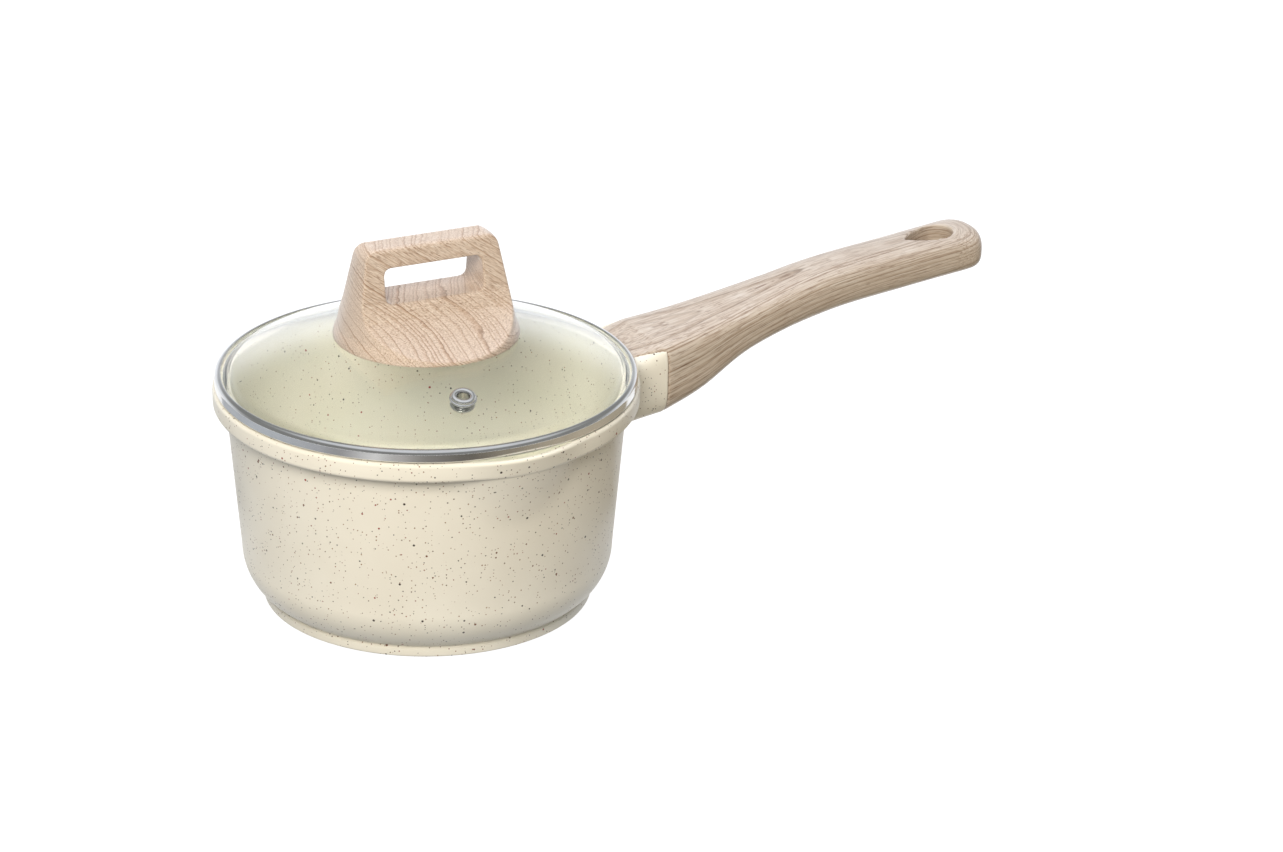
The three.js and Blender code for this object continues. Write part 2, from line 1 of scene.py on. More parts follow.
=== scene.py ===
"""The looks of a saucepan with a glass lid: a speckled cast pan with two pouring lips, a wood-look
handle seated in its cradle, and a domed glass lid with a steel rim, a steam vent and a loop knob.
Sizes are in millimetres until a mesh is made, and +X runs along the handle."""

import math

import bpy
import numpy as np
from mathutils import Matrix, Vector


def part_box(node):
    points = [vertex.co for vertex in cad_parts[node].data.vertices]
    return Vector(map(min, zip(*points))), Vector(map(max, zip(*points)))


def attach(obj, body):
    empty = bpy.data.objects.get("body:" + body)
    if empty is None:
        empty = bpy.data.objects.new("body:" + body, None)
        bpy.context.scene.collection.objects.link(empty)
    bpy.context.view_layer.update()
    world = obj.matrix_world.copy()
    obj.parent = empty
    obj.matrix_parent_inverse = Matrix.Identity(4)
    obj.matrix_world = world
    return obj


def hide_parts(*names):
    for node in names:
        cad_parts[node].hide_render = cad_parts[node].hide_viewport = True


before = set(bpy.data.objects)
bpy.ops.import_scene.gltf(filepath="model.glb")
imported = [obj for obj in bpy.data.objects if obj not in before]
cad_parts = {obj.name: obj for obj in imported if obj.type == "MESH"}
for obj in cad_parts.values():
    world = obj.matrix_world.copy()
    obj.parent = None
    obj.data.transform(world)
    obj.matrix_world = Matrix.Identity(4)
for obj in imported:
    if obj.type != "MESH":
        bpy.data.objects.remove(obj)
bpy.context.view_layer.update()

MM = 0.001

# Places that the frame fixes
RING_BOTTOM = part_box("lid_rim_ring")[0].z / MM
RING_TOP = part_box("lid_rim_ring")[1].z / MM
KNOB_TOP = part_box("knob")[1].z / MM
PLATE_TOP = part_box("base_plate")[1].z / MM
PLATE_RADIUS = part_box("base_plate")[1].x / MM
HANDLE_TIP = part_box("handle_grip")[1].x / MM

FIT = 0.3  # gap between pieces that meet
CLEAR_ABOVE = 130  # higher than any piece that a cutter has to pass through

# Cast pan
PAN_AROUND = 384  # points in each row of its skin
PAN_HEIGHT = 92
BOWL_RADIUS = 80
WALL = 2.6
RIM_RADIUS = 86.8
WALL_TOP_RADIUS = 81.4
WALL_LOW_RADIUS = 76.2
FOOT_RADIUS = 67.6
FOOT_HEIGHT = 3.6
CURVE_INSET = 18.2  # the curve between foot and wall, across and up
CURVE_HEIGHT = 20.5
CURVE_TOP = 22.4
CURVE_START = -57  # degrees at which that curve leaves the foot's groove
INSIDE_ROUND = 16  # the round between the floor and the wall inside, across and up
INSIDE_ROUND_HEIGHT = 18
RIM_ROUND = 1.6
BAND_UNDER_ROUND = 1.8
BAND_BOTTOM = 84
FLOOR_TOP = 5.3
LIP_RADIUS = 46.5
LIP_REACH = 3.6
LIP_DROP = 30
LIP_SLOPE = 11.4
LIP_BLEND = 3  # width over which a lip's edge flows into the wall

# Lug and handle
SEAM = 101.5
LUG_START = 69.8
LUG_HALF_WIDTH = 25.5
CHEEK_AT_PAN = 8.5
CHEEK_AT_SEAM = 1.8
CRADLE_FLOOR = 69.5
HANDLE_LENGTH = HANDLE_TIP - SEAM
TIP_ROUND = 11
TIP_THINNING = 3
LUG_DROP = 3
HANG_POINT = 34
HANG_END = 10.5
HANG_RADIUS = 7.6
HANG_TAPER = 7
SCREW_X = 94.9
SEAM_GAP = 0.15
BORE_RADIUS = 2.85
SINK_RADIUS = 5.5
SINK_TOP = 65.7

# Lid
LID_TURN = math.radians(-4)
RING_RADIUS = 86
RING_LEG = 2.6
RING_ROUND = 2
SHEET = 0.5
LINER = 0.3
GLASS_RADIUS = 85
GLASS = 3.2
GLASS_HOLE = 4  # radius of the hole for the knob's screw
DOME_RISE = 19.5
GLASS_EDGE = RING_BOTTOM + 1
DOME_RADIUS = (GLASS_RADIUS**2 + DOME_RISE**2) / (2 * DOME_RISE)
DOME_APEX = GLASS_EDGE + GLASS + DOME_RISE
DOME_CENTRE = DOME_APEX - DOME_RADIUS
VENT_RADIUS = 58.6
VENT_ANGLE = math.radians(-99)
VENT_BORE = 2.4
VENT_SLEEVE = 2.9  # outside radius of the sleeve through the glass
VENT_TAIL = 4.6
VENT_FLANGE = 5.5
VENT_COLLAR = 4.9
VENT_SEAT = 0.7  # glass to the flange's underside
VENT_HOLE = VENT_SLEEVE + FIT
VENT_PAD = 5  # outside radius of the gasket and of the washer

# Knob
KNOB_HEIGHT = 41
KNOB_BASE = KNOB_TOP - KNOB_HEIGHT
KNOB_EDGE = 37.9  # where the foot of the cone swells past the skirt
KNOB_TOP_RADIUS = 28.9
KNOB_SHOULDER = 6
CREASE = KNOB_BASE + 12.5
CREASE_STEP = 3.8
CREASE_RISE = 6
LOOP_BASE_HALF = 14  # half thickness of the loop at the crease
LOOP_TOP_HALF = 6.5
BAR = 8
WINDOW_HEIGHT = 14.6
WINDOW_HALF = 21.3
WINDOW_ROUND = 3
WINDOW_BOTTOM = KNOB_TOP - BAR - WINDOW_HEIGHT
WINDOW_TOP = KNOB_TOP - BAR
KNOB_BOSS = 13  # radius of the solid middle under the knob
KNOB_HOLLOW = 26.5  # radius inside the skirt
INSERT_HOLE = 4.1
INSERT_HOLE_TOP = 128.8

# Screws
SCREW_RADIUS = 2.5
SCREW_ROOT = 2.32
SCREW_PITCH = 0.8
SCREW_HEAD_RADIUS = 4.5
SCREW_HEAD_HEIGHT = 2.6

# Camera: the lens, the sensor's width and the aim in millimetres, and the distance in metres
LENS = 123.81138
SENSOR = 36
CAMERA_BACK = (-0.4604, -0.7974, 0.3901)
CAMERA_RIGHT = (0.866, -0.5, 0)
CAMERA_ROLL = math.radians(0.875)
CAMERA_AIM = (75.82, -43.78, 73.35)
CAMERA_DISTANCE = 1.8
BEHIND = (0.5, 0.866, 0)  # level, away from the camera
FRONT = math.radians(-120)  # the side of the pan that the studio is set up to show


# ---------------------------------------------------------------- meshes


def arc(r, z, radius_r, radius_z, start, end, steps):
    """Points of an arc in a profile, from one angle to the other in degrees."""
    angles = np.radians(np.linspace(start, end, steps + 1))
    return [(r + radius_r * math.cos(a), z + radius_z * math.sin(a)) for a in angles]


def eased(corners):
    """A profile through (r, z, cut) corners, each rounded off over that length of its sides."""
    points = []
    for i, (r, z, cut) in enumerate(corners):
        here = np.array((r, z), float)
        if cut == 0 or i in (0, len(corners) - 1):
            points.append((r, z))
            continue
        ends = []
        for other in (corners[i - 1], corners[i + 1]):
            way = np.array(other[:2], float) - here
            length = np.linalg.norm(way)
            ends.append(here + way / length * min(cut, 0.48 * length))
        for t in np.linspace(0, 1, 5):
            curve = (1 - t) ** 2 * ends[0] + 2 * t * (1 - t) * here + t**2 * ends[1]
            points.append(tuple(curve))
    return points


def made(name, points, faces):
    """An object from points in millimetres."""
    mesh = bpy.data.meshes.new(name)
    mesh.from_pydata([tuple(np.array(p) * MM) for p in points], [], faces)
    mesh.update()
    piece = bpy.data.objects.new(name, mesh)
    bpy.context.scene.collection.objects.link(piece)
    return piece


def skinned(name, rows, closed=False):
    """A skin over rows of points. A row of one point is a pole, and a closed skin ends where it
    began."""
    points, starts = [], []
    for row in rows:
        starts.append(len(points))
        points.extend(row)
    faces = []
    pairs = list(range(len(rows) - 1)) + ([len(rows) - 1] if closed else [])
    for i in pairs:
        low, high = rows[i], rows[(i + 1) % len(rows)]
        a, b = starts[i], starts[(i + 1) % len(rows)]
        count = max(len(low), len(high))
        for k in range(count):
            n = (k + 1) % count
            if len(low) == 1:
                faces.append((a, b + n, b + k))
            elif len(high) == 1:
                faces.append((a + k, a + n, b))
            else:
                faces.append((a + k, a + n, b + n, b + k))
    return made(name, points, faces)


def circle_row(r, z, around):
    """A row of points round the axis, or the one point on it."""
    if r == 0:
        return [(0, 0, z)]
    angles = np.linspace(0, 2 * math.pi, around, endpoint=False)
    return [(r * math.cos(a), r * math.sin(a), z) for a in angles]


def turned(name, profile, around=192):
    """A piece turned about Z from a profile that runs up its outside."""
    closed = profile[0] == profile[-1]
    rows = [circle_row(r, z, around) for r, z in (profile[:-1] if closed else profile)]
    return skinned(name, rows, closed)


def rod(name, radius, low, high, around=192):
    """A plain round bar on the axis, for a tool that cuts."""
    return turned(name, [(0, low), (radius, low), (radius, high), (0, high)], around)


def to_screw(piece):
    """Moves a piece from the pan's axis to the handle screw's."""
    piece.data.transform(Matrix.Translation((SCREW_X * MM, 0, 0)))
    return piece


def curve_through(start, bend, end, shares):
    """Points of a curve from start to end that leans towards a bend."""
    points = []
    for t in shares:
        parts = list(zip([(1 - t) ** 2, 2 * t * (1 - t), t**2], (start, bend, end)))
        points.append(tuple(sum(w * p[i] for w, p in parts) for i in (0, 1)))
    return points


def prism(name, outline, low, high, stand=None):
    """An outline pushed up from low to high, then stood up by a matrix."""
    count = len(outline)
    points = [(x, y, low) for x, y in outline] + [(x, y, high) for x, y in outline]
    faces = [tuple(reversed(range(count))), tuple(range(count, 2 * count))]
    for k in range(count):
        n = (k + 1) % count
        faces.append((k, n, n + count, k + count))
    piece = made(name, points, faces)
    if stand is not None:
        piece.data.transform(stand)
    return piece


def carved(piece, steps, voxel=None):
    """The piece after its tools have been joined, cut away or kept in common, meshed evenly."""
    for operation, tool in steps:
        change = piece.modifiers.new(tool.name, "BOOLEAN")
        change.operation = operation
        change.solver = "EXACT"
        change.object = tool
    if voxel:
        even = piece.modifiers.new("even", "REMESH")
        even.mode = "VOXEL"
        even.voxel_size = voxel * MM
    drawn = piece.evaluated_get(bpy.context.evaluated_depsgraph_get())
    mesh = bpy.data.meshes.new_from_object(drawn)
    piece.modifiers.clear()
    piece.data = mesh
    for _, tool in steps:
        bpy.data.objects.remove(tool)
    return piece


def points_of(piece):
    """A piece's points in millimetres."""
    flat = np.empty(len(piece.data.vertices) * 3)
    piece.data.vertices.foreach_get("co", flat)
    return flat.reshape(-1, 3) / MM


def soften(piece, passes, share=None):
    """Rounds a piece's edges. In each pass a point moves half way to the middle of its neighbours,
    or a share of that."""
    points = points_of(piece)
    count = len(points)
    edges = np.empty(len(piece.data.edges) * 2, int)
    piece.data.edges.foreach_get("vertices", edges)
    ends = edges.reshape(-1, 2)
    near = np.bincount(edges, minlength=count)
    pull = 0.5 * (np.ones(count) if share is None else share(points))
    for _ in range(passes):
        mean = np.empty_like(points)
        for axis in range(3):
            line = points[:, axis]
            total = np.bincount(ends[:, 0], line[ends[:, 1]], count)
            total += np.bincount(ends[:, 1], line[ends[:, 0]], count)
            mean[:, axis] = total / near
        points += pull[:, None] * (mean - points)
    piece.data.vertices.foreach_set("co", (points * MM).ravel())
    piece.data.update()
    return piece


def finish_piece(piece, body, slot, material, *nodes, sharp=38):
    """Gives a piece its finish and its smooth shading, sets it on its body and hides the nodes that
    it stands for.
    """
    if not piece.data.materials:
        piece.data.materials.append(material)
    piece.data.shade_smooth()
    piece.data.set_sharp_from_angle(angle=math.radians(sharp))
    if body == "lid":
        piece.data.transform(Matrix.Rotation(LID_TURN, 4, "Z"))
    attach(piece, body)
    if nodes:
        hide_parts(*nodes)
    return piece


# ---------------------------------------------------------------- materials


def linear(code):
    """A linear colour from an sRGB hex code."""
    parts = [int(code[i : i + 2], 16) / 255 for i in (1, 3, 5)]
    return tuple(c / 12.92 if c <= 0.04045 else ((c + 0.055) / 1.055) ** 2.4 for c in parts) + (1,)


def finish_of(name):
    """A new material with an empty node tree and its output."""
    material = bpy.data.materials.new(name)
    material.use_nodes = True
    tree = material.node_tree
    tree.nodes.clear()
    return material, tree, tree.nodes.new("ShaderNodeOutputMaterial")


# Sockets of a colour mix
SHARE, UNDER, OVER, MIXED = 0, 6, 7, 2


def node(tree, kind, inputs=None, stops=(), **settings):
    """A node with its settings, its inputs set or linked, and a ramp's (position, hex) stops."""
    new = tree.nodes.new(kind)
    for key, value in settings.items():
        setattr(new, key, value)
    for socket, value in (inputs or {}).items():
        if isinstance(value, bpy.types.NodeSocket):
            tree.links.new(value, new.inputs[socket])
        else:
            new.inputs[socket].default_value = value
    band = new.color_ramp.elements if stops else []
    while len(band) < len(stops):
        band.new(0.5)
    for element, (position, code) in zip(band, stops):
        element.position = position
        element.color = linear(code)
    return new


def specks(tree, place, cell, least, most, bare):
    """A mask of round specks, one to a cell at most, and a number that is each speck's own.
    The cell and the least and most radius are in millimetres. bare is the share of empty cells."""
    fade = 0.03  # millimetres over which a speck's edge goes from full to none
    cells = node(tree, "ShaderNodeTexVoronoi", {"Vector": place, "Scale": 1 / (cell * MM)})
    chance = node(tree, "ShaderNodeSeparateColor", {"Color": cells.outputs["Color"]})
    size = node(
        tree,
        "ShaderNodeMapRange",
        {
            "Value": chance.outputs["Red"],
            "From Min": bare,
            "From Max": 1,
            "To Min": least / cell,
            "To Max": most / cell,
        },
    )
    there = node(
        tree, "ShaderNodeMath", {0: chance.outputs["Red"], 1: bare}, operation="GREATER_THAN"
    )
    edge = node(
        tree,
        "ShaderNodeMath",
        {0: size.outputs["Result"], 1: cells.outputs["Distance"]},
        operation="SUBTRACT",
    )
    round_speck = node(
        tree,
        "ShaderNodeMapRange",
        {"Value": edge.outputs[0], "From Max": fade / cell},
    )
    mask = node(
        tree,
        "ShaderNodeMath",
        {0: round_speck.outputs["Result"], 1: there.outputs[0]},
        operation="MULTIPLY",
    )
    return mask.outputs[0], chance.outputs["Green"]


def speckled_coating(name, tone, shade, fine_bare, coarse_bare):
    """Sprayed ceramic non-stick coating over cast aluminium: a satin cream ground with a faint
    orange peel, strewn with black, brown and rust specks from 0.3 to 1.1 mm across. Finer specks
    wouldn't show and are left out."""
    material, tree, output = finish_of(name)
    place = node(tree, "ShaderNodeTexCoord").outputs["Object"]
    cloud = node(tree, "ShaderNodeTexNoise", {"Vector": place, "Scale": 28, "Detail": 3})
    ground = node(
        tree, "ShaderNodeValToRGB", {"Fac": cloud.outputs["Fac"]}, [(0.3, tone), (0.7, shade)]
    )
    dotted = ground.outputs["Color"]
    for cell, least, most, bare, stops in (
        (
            1.35,
            0.16,
            0.32,
            fine_bare,
            [(0, "#80542c"), (0.35, "#583819"), (0.65, "#2a2016"), (0.84, "#7c2c14")],
        ),
        (
            4.0,
            0.3,
            0.56,
            coarse_bare,
            [(0, "#2f2214"), (0.35, "#683a18"), (0.62, "#1c1712"), (0.82, "#8a1f0e")],
        ),
    ):
        mask, kind = specks(tree, place, cell, least, most, bare)
        dot = node(tree, "ShaderNodeValToRGB", {"Fac": kind}, stops)
        dot.color_ramp.interpolation = "CONSTANT"
        dotted = node(
            tree,
            "ShaderNodeMix",
            {SHARE: mask, UNDER: dotted, OVER: dot.outputs["Color"]},
            data_type="RGBA",
        ).outputs[MIXED]
    peel = node(tree, "ShaderNodeTexNoise", {"Vector": place, "Scale": 1 / (1.4 * MM), "Detail": 2})
    relief = node(
        tree, "ShaderNodeBump", {"Height": peel.outputs["Fac"], "Strength": 0.18, "Distance": 0.00006}
    )
    gloss = node(
        tree,
        "ShaderNodeMapRange",
        {"Value": cloud.outputs["Fac"], "To Min": 0.36, "To Max": 0.46},
    )
    shader = node(
        tree,
        "ShaderNodeBsdfPrincipled",
        {
            "Base Color": dotted,
            "Roughness": gloss.outputs["Result"],
            "IOR": 1.47,
            "Coat Weight": 0.12,
            "Coat Roughness": 0.22,
            "Normal": relief.outputs["Normal"],
        },
    )
    tree.links.new(shader.outputs[0], output.inputs["Surface"])
    return material


def wood_look(name, spacing, swing, pale, mid, dark):
    """Phenolic resin with a printed beech film: pale beige with brown growth lines, long fibres and
    short pores that follow the moulding, and a satin skin with a very slight grain relief.
    The attribute grain holds metres along the fibre, across it, and through the growth layers.
    spacing is a growth layer's width in millimetres, and swing how many layers a line drifts.
    Beech has pores under 0.1 mm wide. They are drawn 0.3 mm wide here, so that they show."""
    unevenness, waviness = 2.6, 0.45  # in growth layers
    material, tree, output = finish_of(name)
    grain = node(tree, "ShaderNodeAttribute", attribute_name="grain").outputs["Vector"]
    # Cells per metre, along and across the fibre, of the growth lines' drift and ripple, then of
    # the fibres and the pores
    noises = []
    for reach, detail in (
        ((7, 45, 45), 2),
        ((26, 380, 380), 2),
        ((60, 2400, 2400), 4),
        ((170, 3000, 3000), 1),
    ):
        scaled = node(tree, "ShaderNodeVectorMath", {0: grain, 1: reach}, operation="MULTIPLY")
        inputs = {"Vector": scaled.outputs[0], "Scale": 1, "Detail": detail}
        noises.append(node(tree, "ShaderNodeTexNoise", inputs).outputs["Fac"])
    drift, ripple, fibre, pore = noises
    layer = node(tree, "ShaderNodeSeparateXYZ", {"Vector": grain}).outputs["Z"]
    uneven = node(
        tree,
        "ShaderNodeTexNoise",
        {"W": layer, "Scale": 1 / (3.2 * spacing * MM), "Detail": 1},
        noise_dimensions="1D",
    )
    even = node(tree, "ShaderNodeMath", {0: layer, 1: 1 / (spacing * MM)}, operation="MULTIPLY")
    line = even.outputs[0]
    for noise, reach in (
        (uneven.outputs["Fac"], unevenness),
        (drift, swing),
        (ripple, waviness),
    ):
        inputs = {0: noise, 1: reach, 2: line}
        line = node(tree, "ShaderNodeMath", inputs, operation="MULTIPLY_ADD").outputs[0]
    ring = node(tree, "ShaderNodeMath", {0: line}, operation="FRACT")
    number = node(tree, "ShaderNodeMath", {0: line}, operation="FLOOR")
    chance = node(
        tree, "ShaderNodeTexWhiteNoise", {"W": number.outputs[0]}, noise_dimensions="1D"
    )
    firm = node(
        tree, "ShaderNodeMapRange", {"Value": chance.outputs["Value"], "To Min": 0.1, "To Max": 0.95}
    )
    colour = linear(pale)
    for share, blend, factor, stops in (
        (
            firm.outputs["Result"],
            "MIX",
            ring.outputs[0],
            [(0, pale), (0.45, pale), (0.8, mid), (0.93, dark), (1, pale)],
        ),
        (0.75, "MULTIPLY", fibre, [(0.3, "#b59c87"), (0.5, "#ece2d8"), (0.7, "#ffffff")]),
        (0.55, "MULTIPLY", pore, [(0.33, "#9b7b61"), (0.42, "#ffffff")]),
    ):
        over = node(tree, "ShaderNodeValToRGB", {"Fac": factor}, stops).outputs["Color"]
        colour = node(
            tree,
            "ShaderNodeMix",
            {SHARE: share, UNDER: colour, OVER: over},
            data_type="RGBA",
            blend_type=blend,
        ).outputs[MIXED]
    height = node(
        tree,
        "ShaderNodeMath",
        {0: ring.outputs[0], 1: -0.35, 2: fibre},
        operation="MULTIPLY_ADD",
    )
    relief = node(
        tree, "ShaderNodeBump", {"Height": height.outputs[0], "Strength": 0.3, "Distance": 0.00012}
    )
    gloss = node(
        tree, "ShaderNodeMapRange", {"Value": fibre, "To Min": 0.42, "To Max": 0.6}
    )
    shader = node(
        tree,
        "ShaderNodeBsdfPrincipled",
        {
            "Base Color": colour,
            "Roughness": gloss.outputs["Result"],
            "IOR": 1.5,
            "Normal": relief.outputs["Normal"],
            "Coat Weight": 0.9,
            "Coat Roughness": 0.32,
        },
    )
    tree.links.new(shader.outputs[0], output.inputs["Surface"])
    return material


def metal(name, tone, worn, rough, rougher, line):
    """A bright metal whose reflections are broken up a little by uneven polish and by the tool's
    marks round the axis. The marks are line millimetres apart, coarser than real, so that they
    show."""
    material, tree, output = finish_of(name)
    place = node(tree, "ShaderNodeTexCoord").outputs["Object"]
    smear = node(tree, "ShaderNodeTexNoise", {"Vector": place, "Scale": 60, "Detail": 4})
    split = node(tree, "ShaderNodeSeparateXYZ", {"Vector": place})
    flat = node(
        tree,
        "ShaderNodeCombineXYZ",
        {"X": split.outputs["X"], "Y": split.outputs["Y"]},
    )
    radius = node(
        tree, "ShaderNodeVectorMath", {0: flat.outputs[0]}, operation="LENGTH"
    ).outputs["Value"]
    section = node(
        tree, "ShaderNodeCombineXYZ", {"X": radius, "Y": split.outputs["Z"]}
    )
    marks = node(
        tree,
        "ShaderNodeTexNoise",
        {"Vector": section.outputs[0], "Scale": 1 / (line * MM), "Detail": 3},
    )
    colour = node(
        tree, "ShaderNodeValToRGB", {"Fac": smear.outputs["Fac"]}, [(0.35, worn), (0.65, tone)]
    )
    gloss = node(
        tree,
        "ShaderNodeMapRange",
        {"Value": smear.outputs["Fac"], "To Min": rough, "To Max": rougher},
    )
    relief = node(
        tree,
        "ShaderNodeBump",
        {"Height": marks.outputs["Fac"], "Strength": 0.12, "Distance": 0.00003},
    )
    shader = node(
        tree,
        "ShaderNodeBsdfPrincipled",
        {
            "Base Color": colour.outputs["Color"],
            "Metallic": 1.0,
            "Roughness": gloss.outputs["Result"],
            "Normal": relief.outputs["Normal"],
        },
    )
    tree.links.new(shader.outputs[0], output.inputs["Surface"])
    return material


def tempered_glass():
    """Tempered soda-lime glass: clear, a breath of green where it is thick, with faint waves from
    the tempering that only the reflections show. Lamps shine through it."""
    material, tree, output = finish_of("tempered_glass")
    place = node(tree, "ShaderNodeTexCoord").outputs["Object"]
    wave = node(tree, "ShaderNodeTexNoise", {"Vector": place, "Scale": 30, "Detail": 1})
    tint = node(
        tree,
        "ShaderNodeValToRGB",
        {"Fac": wave.outputs["Fac"]},
        [(0.3, "#fafcfb"), (0.7, "#fdfdfd")],
    )
    relief = node(
        tree, "ShaderNodeBump", {"Height": wave.outputs["Fac"], "Strength": 0.05, "Distance": 0.0001}
    )
    shader = node(
        tree,
        "ShaderNodeBsdfPrincipled",
        {
            "Base Color": tint.outputs["Color"],
            "Roughness": 0.0,
            "IOR": 1.5,
            "Transmission Weight": 1.0,
            "Normal": relief.outputs["Normal"],
        },
    )
    shadow = node(tree, "ShaderNodeBsdfTransparent", {"Color": linear("#f4f6f5")})
    path = node(tree, "ShaderNodeLightPath")
    both = node(
        tree,
        "ShaderNodeMixShader",
        {0: path.outputs["Is Shadow Ray"], 1: shader.outputs[0], 2: shadow.outputs[0]},
    )
    tree.links.new(both.outputs[0], output.inputs["Surface"])
    return material


def silicone():
    """Moulded silicone rubber: milky white and matt, with a dusty bloom."""
    material, tree, output = finish_of("milky_silicone")
    place = node(tree, "ShaderNodeTexCoord").outputs["Object"]
    bloom = node(tree, "ShaderNodeTexNoise", {"Vector": place, "Scale": 180, "Detail": 4})
    colour = node(
        tree,
        "ShaderNodeValToRGB",
        {"Fac": bloom.outputs["Fac"]},
        [(0.35, "#d6d8d6"), (0.65, "#ecedeb")],
    )
    gloss = node(
        tree, "ShaderNodeMapRange", {"Value": bloom.outputs["Fac"], "To Min": 0.5, "To Max": 0.65}
    )
    shader = node(
        tree,
        "ShaderNodeBsdfPrincipled",
        {
            "Base Color": colour.outputs["Color"],
            "Roughness": gloss.outputs["Result"],
            "IOR": 1.42,
        },
    )
    tree.links.new(shader.outputs[0], output.inputs["Surface"])
    return material


outer_coating = speckled_coating("speckled_ceramic_coating", "#ece6d7", "#e5dece", 0.44, 0.5)
# The inside is the same coat as the outside, painted darker and greyer as painted shade from the lid
# and the walls; its sparser specks are its own.
inner_coating_painted_shade = speckled_coating("inner_ceramic_coating_painted_shade", "#dedbcc", "#d8d4c3", 0.62, 0.75)
handle_wood = wood_look("beech_look_handle_film", 1.8, 3.2, "#cdc2b5", "#ac9883", "#6e5842")
knob_wood = wood_look("beech_look_knob_film", 1.3, 2.2, "#dbccbd", "#bfa48c", "#8a6a4e")
polished_steel = metal("polished_stainless_steel", "#e4e4e3", "#d9d9d8", 0.1, 0.18, 0.25)
spun_steel = metal("spun_stainless_steel", "#c4c5c6", "#b5b6b7", 0.24, 0.34, 0.6)
turned_brass = metal("turned_brass", "#d4b06a", "#bf9a55", 0.24, 0.34, 0.4)
clear_glass = tempered_glass()
milky_silicone = silicone()


# ---------------------------------------------------------------- pan


def smooth_larger(a, b, blend):
    """The larger of two radii, with the corner between them filled over a blend."""
    near = np.clip(0.5 + 0.5 * (a - b) / blend, 0, 1)
    return b + (a - b) * near + blend * near * (1 - near)


def lip_radius(angles, z, thinner):
    """How far out a pouring lip's cone reaches at each angle round the pan and one height."""
    cone = LIP_RADIUS - thinner - LIP_SLOPE * (PAN_HEIGHT - z) / LIP_DROP
    middle = RIM_RADIUS + LIP_REACH - LIP_RADIUS
    ahead = np.abs(np.sin(angles))
    aside = middle * np.cos(angles)
    inside = cone**2 - aside**2
    return np.where(inside > 0, middle * ahead + np.sqrt(np.maximum(inside, 0)), 0)


def pan_row(r, z, thinner, straight):
    """A row round the pan, bulged out at the two lips. straight is the wall's radius that the bulge
    is measured from, so that the rim keeps its rounded edge over the lips."""
    if r == 0:
        return [(0, 0, z)]
    angles = np.linspace(0, 2 * math.pi, PAN_AROUND, endpoint=False)
    radii = np.full(PAN_AROUND, float(r))
    if z > PAN_HEIGHT - LIP_DROP:
        wall = np.full(PAN_AROUND, float(straight))
        reach = lip_radius(angles, z, thinner)
        radii = r + smooth_larger(wall, reach, LIP_BLEND) - straight
        radii -= smooth_larger(wall[:1], np.zeros(1), LIP_BLEND)[0] - straight
    return [(q * math.cos(a), q * math.sin(a), z) for q, a in zip(radii, angles)]


def pan_shell():
    """The bowl in one skin: underside, foot, wall, rim band with its lips, and the inside."""
    curve_middle = WALL_LOW_RADIUS - CURVE_INSET
    under = eased(
        [
            (0, PLATE_TOP + FIT, 0),
            (PLATE_RADIUS + FIT, PLATE_TOP + FIT, 0.2),
            (PLATE_RADIUS + FIT, 0, 0.3),
            (FOOT_RADIUS, 0, 0.9),
            (FOOT_RADIUS, FOOT_HEIGHT, 0.9),
            (FOOT_RADIUS - 0.9, FOOT_HEIGHT + 0.8, 0.5),
            (curve_middle + CURVE_INSET * math.cos(math.radians(CURVE_START)), 5.2, 0),
        ]
    )
    curve = arc(curve_middle, CURVE_TOP, CURVE_INSET, CURVE_HEIGHT, CURVE_START, 0, 18)
    outside = under[:-1] + curve
    for share in np.linspace(0.08, 1, 14):
        z = CURVE_TOP + (BAND_BOTTOM - 1.4 - CURVE_TOP) * share
        outside.append((WALL_LOW_RADIUS + (WALL_TOP_RADIUS - WALL_LOW_RADIUS) * share, z))
    outside += arc(WALL_TOP_RADIUS + 1.4, BAND_BOTTOM - 1.2, 1.4, 1.2, 180, 100, 4)
    low_round = BAND_UNDER_ROUND
    outside += arc(RIM_RADIUS - low_round, BAND_BOTTOM + low_round, low_round, low_round, -85, 0, 6)
    top = arc(RIM_RADIUS - RIM_ROUND, PAN_HEIGHT - RIM_ROUND, RIM_ROUND, RIM_ROUND, 0, 90, 8)
    inner_top = arc(BOWL_RADIUS + 1, PAN_HEIGHT - 1, 1, 1, 90, 180, 6)
    low = WALL_LOW_RADIUS - WALL
    inside = []
    for share in np.linspace(0.02, 1, 14):
        z = PAN_HEIGHT - 1 - (PAN_HEIGHT - 1 - FLOOR_TOP - INSIDE_ROUND_HEIGHT) * share
        inside.append((BOWL_RADIUS + (low - BOWL_RADIUS) * share, z))
    floor_round = FLOOR_TOP + INSIDE_ROUND_HEIGHT
    inside += arc(low - INSIDE_ROUND, floor_round, INSIDE_ROUND, INSIDE_ROUND_HEIGHT, -3, -90, 14)
    inside.append((0, FLOOR_TOP))
    lip_wall = WALL + 0.4
    rows = [pan_row(r, z, 0, r) for r, z in outside]
    rows += [pan_row(r, z, 0, RIM_RADIUS) for r, z in top]
    outer_rows = len(rows) + 3  # the speckled coat laps over the rim's inner edge by three rows
    rows += [pan_row(r, z, lip_wall, BOWL_RADIUS) for r, z in inner_top]
    rows += [pan_row(r, z, lip_wall, r) for r, z in inside]
    shell = skinned("cast_pan", rows)
    shell.data.materials.append(outer_coating)
    # the inside takes the coat with the painted shade
    shell.data.materials.append(inner_coating_painted_shade)
    for face in shell.data.polygons:
        face.material_index = 1 if face.index >= outer_rows * PAN_AROUND else 0
    return finish_piece(shell, "pan", "speckled_coating", outer_coating, "pan_body", sharp=50)


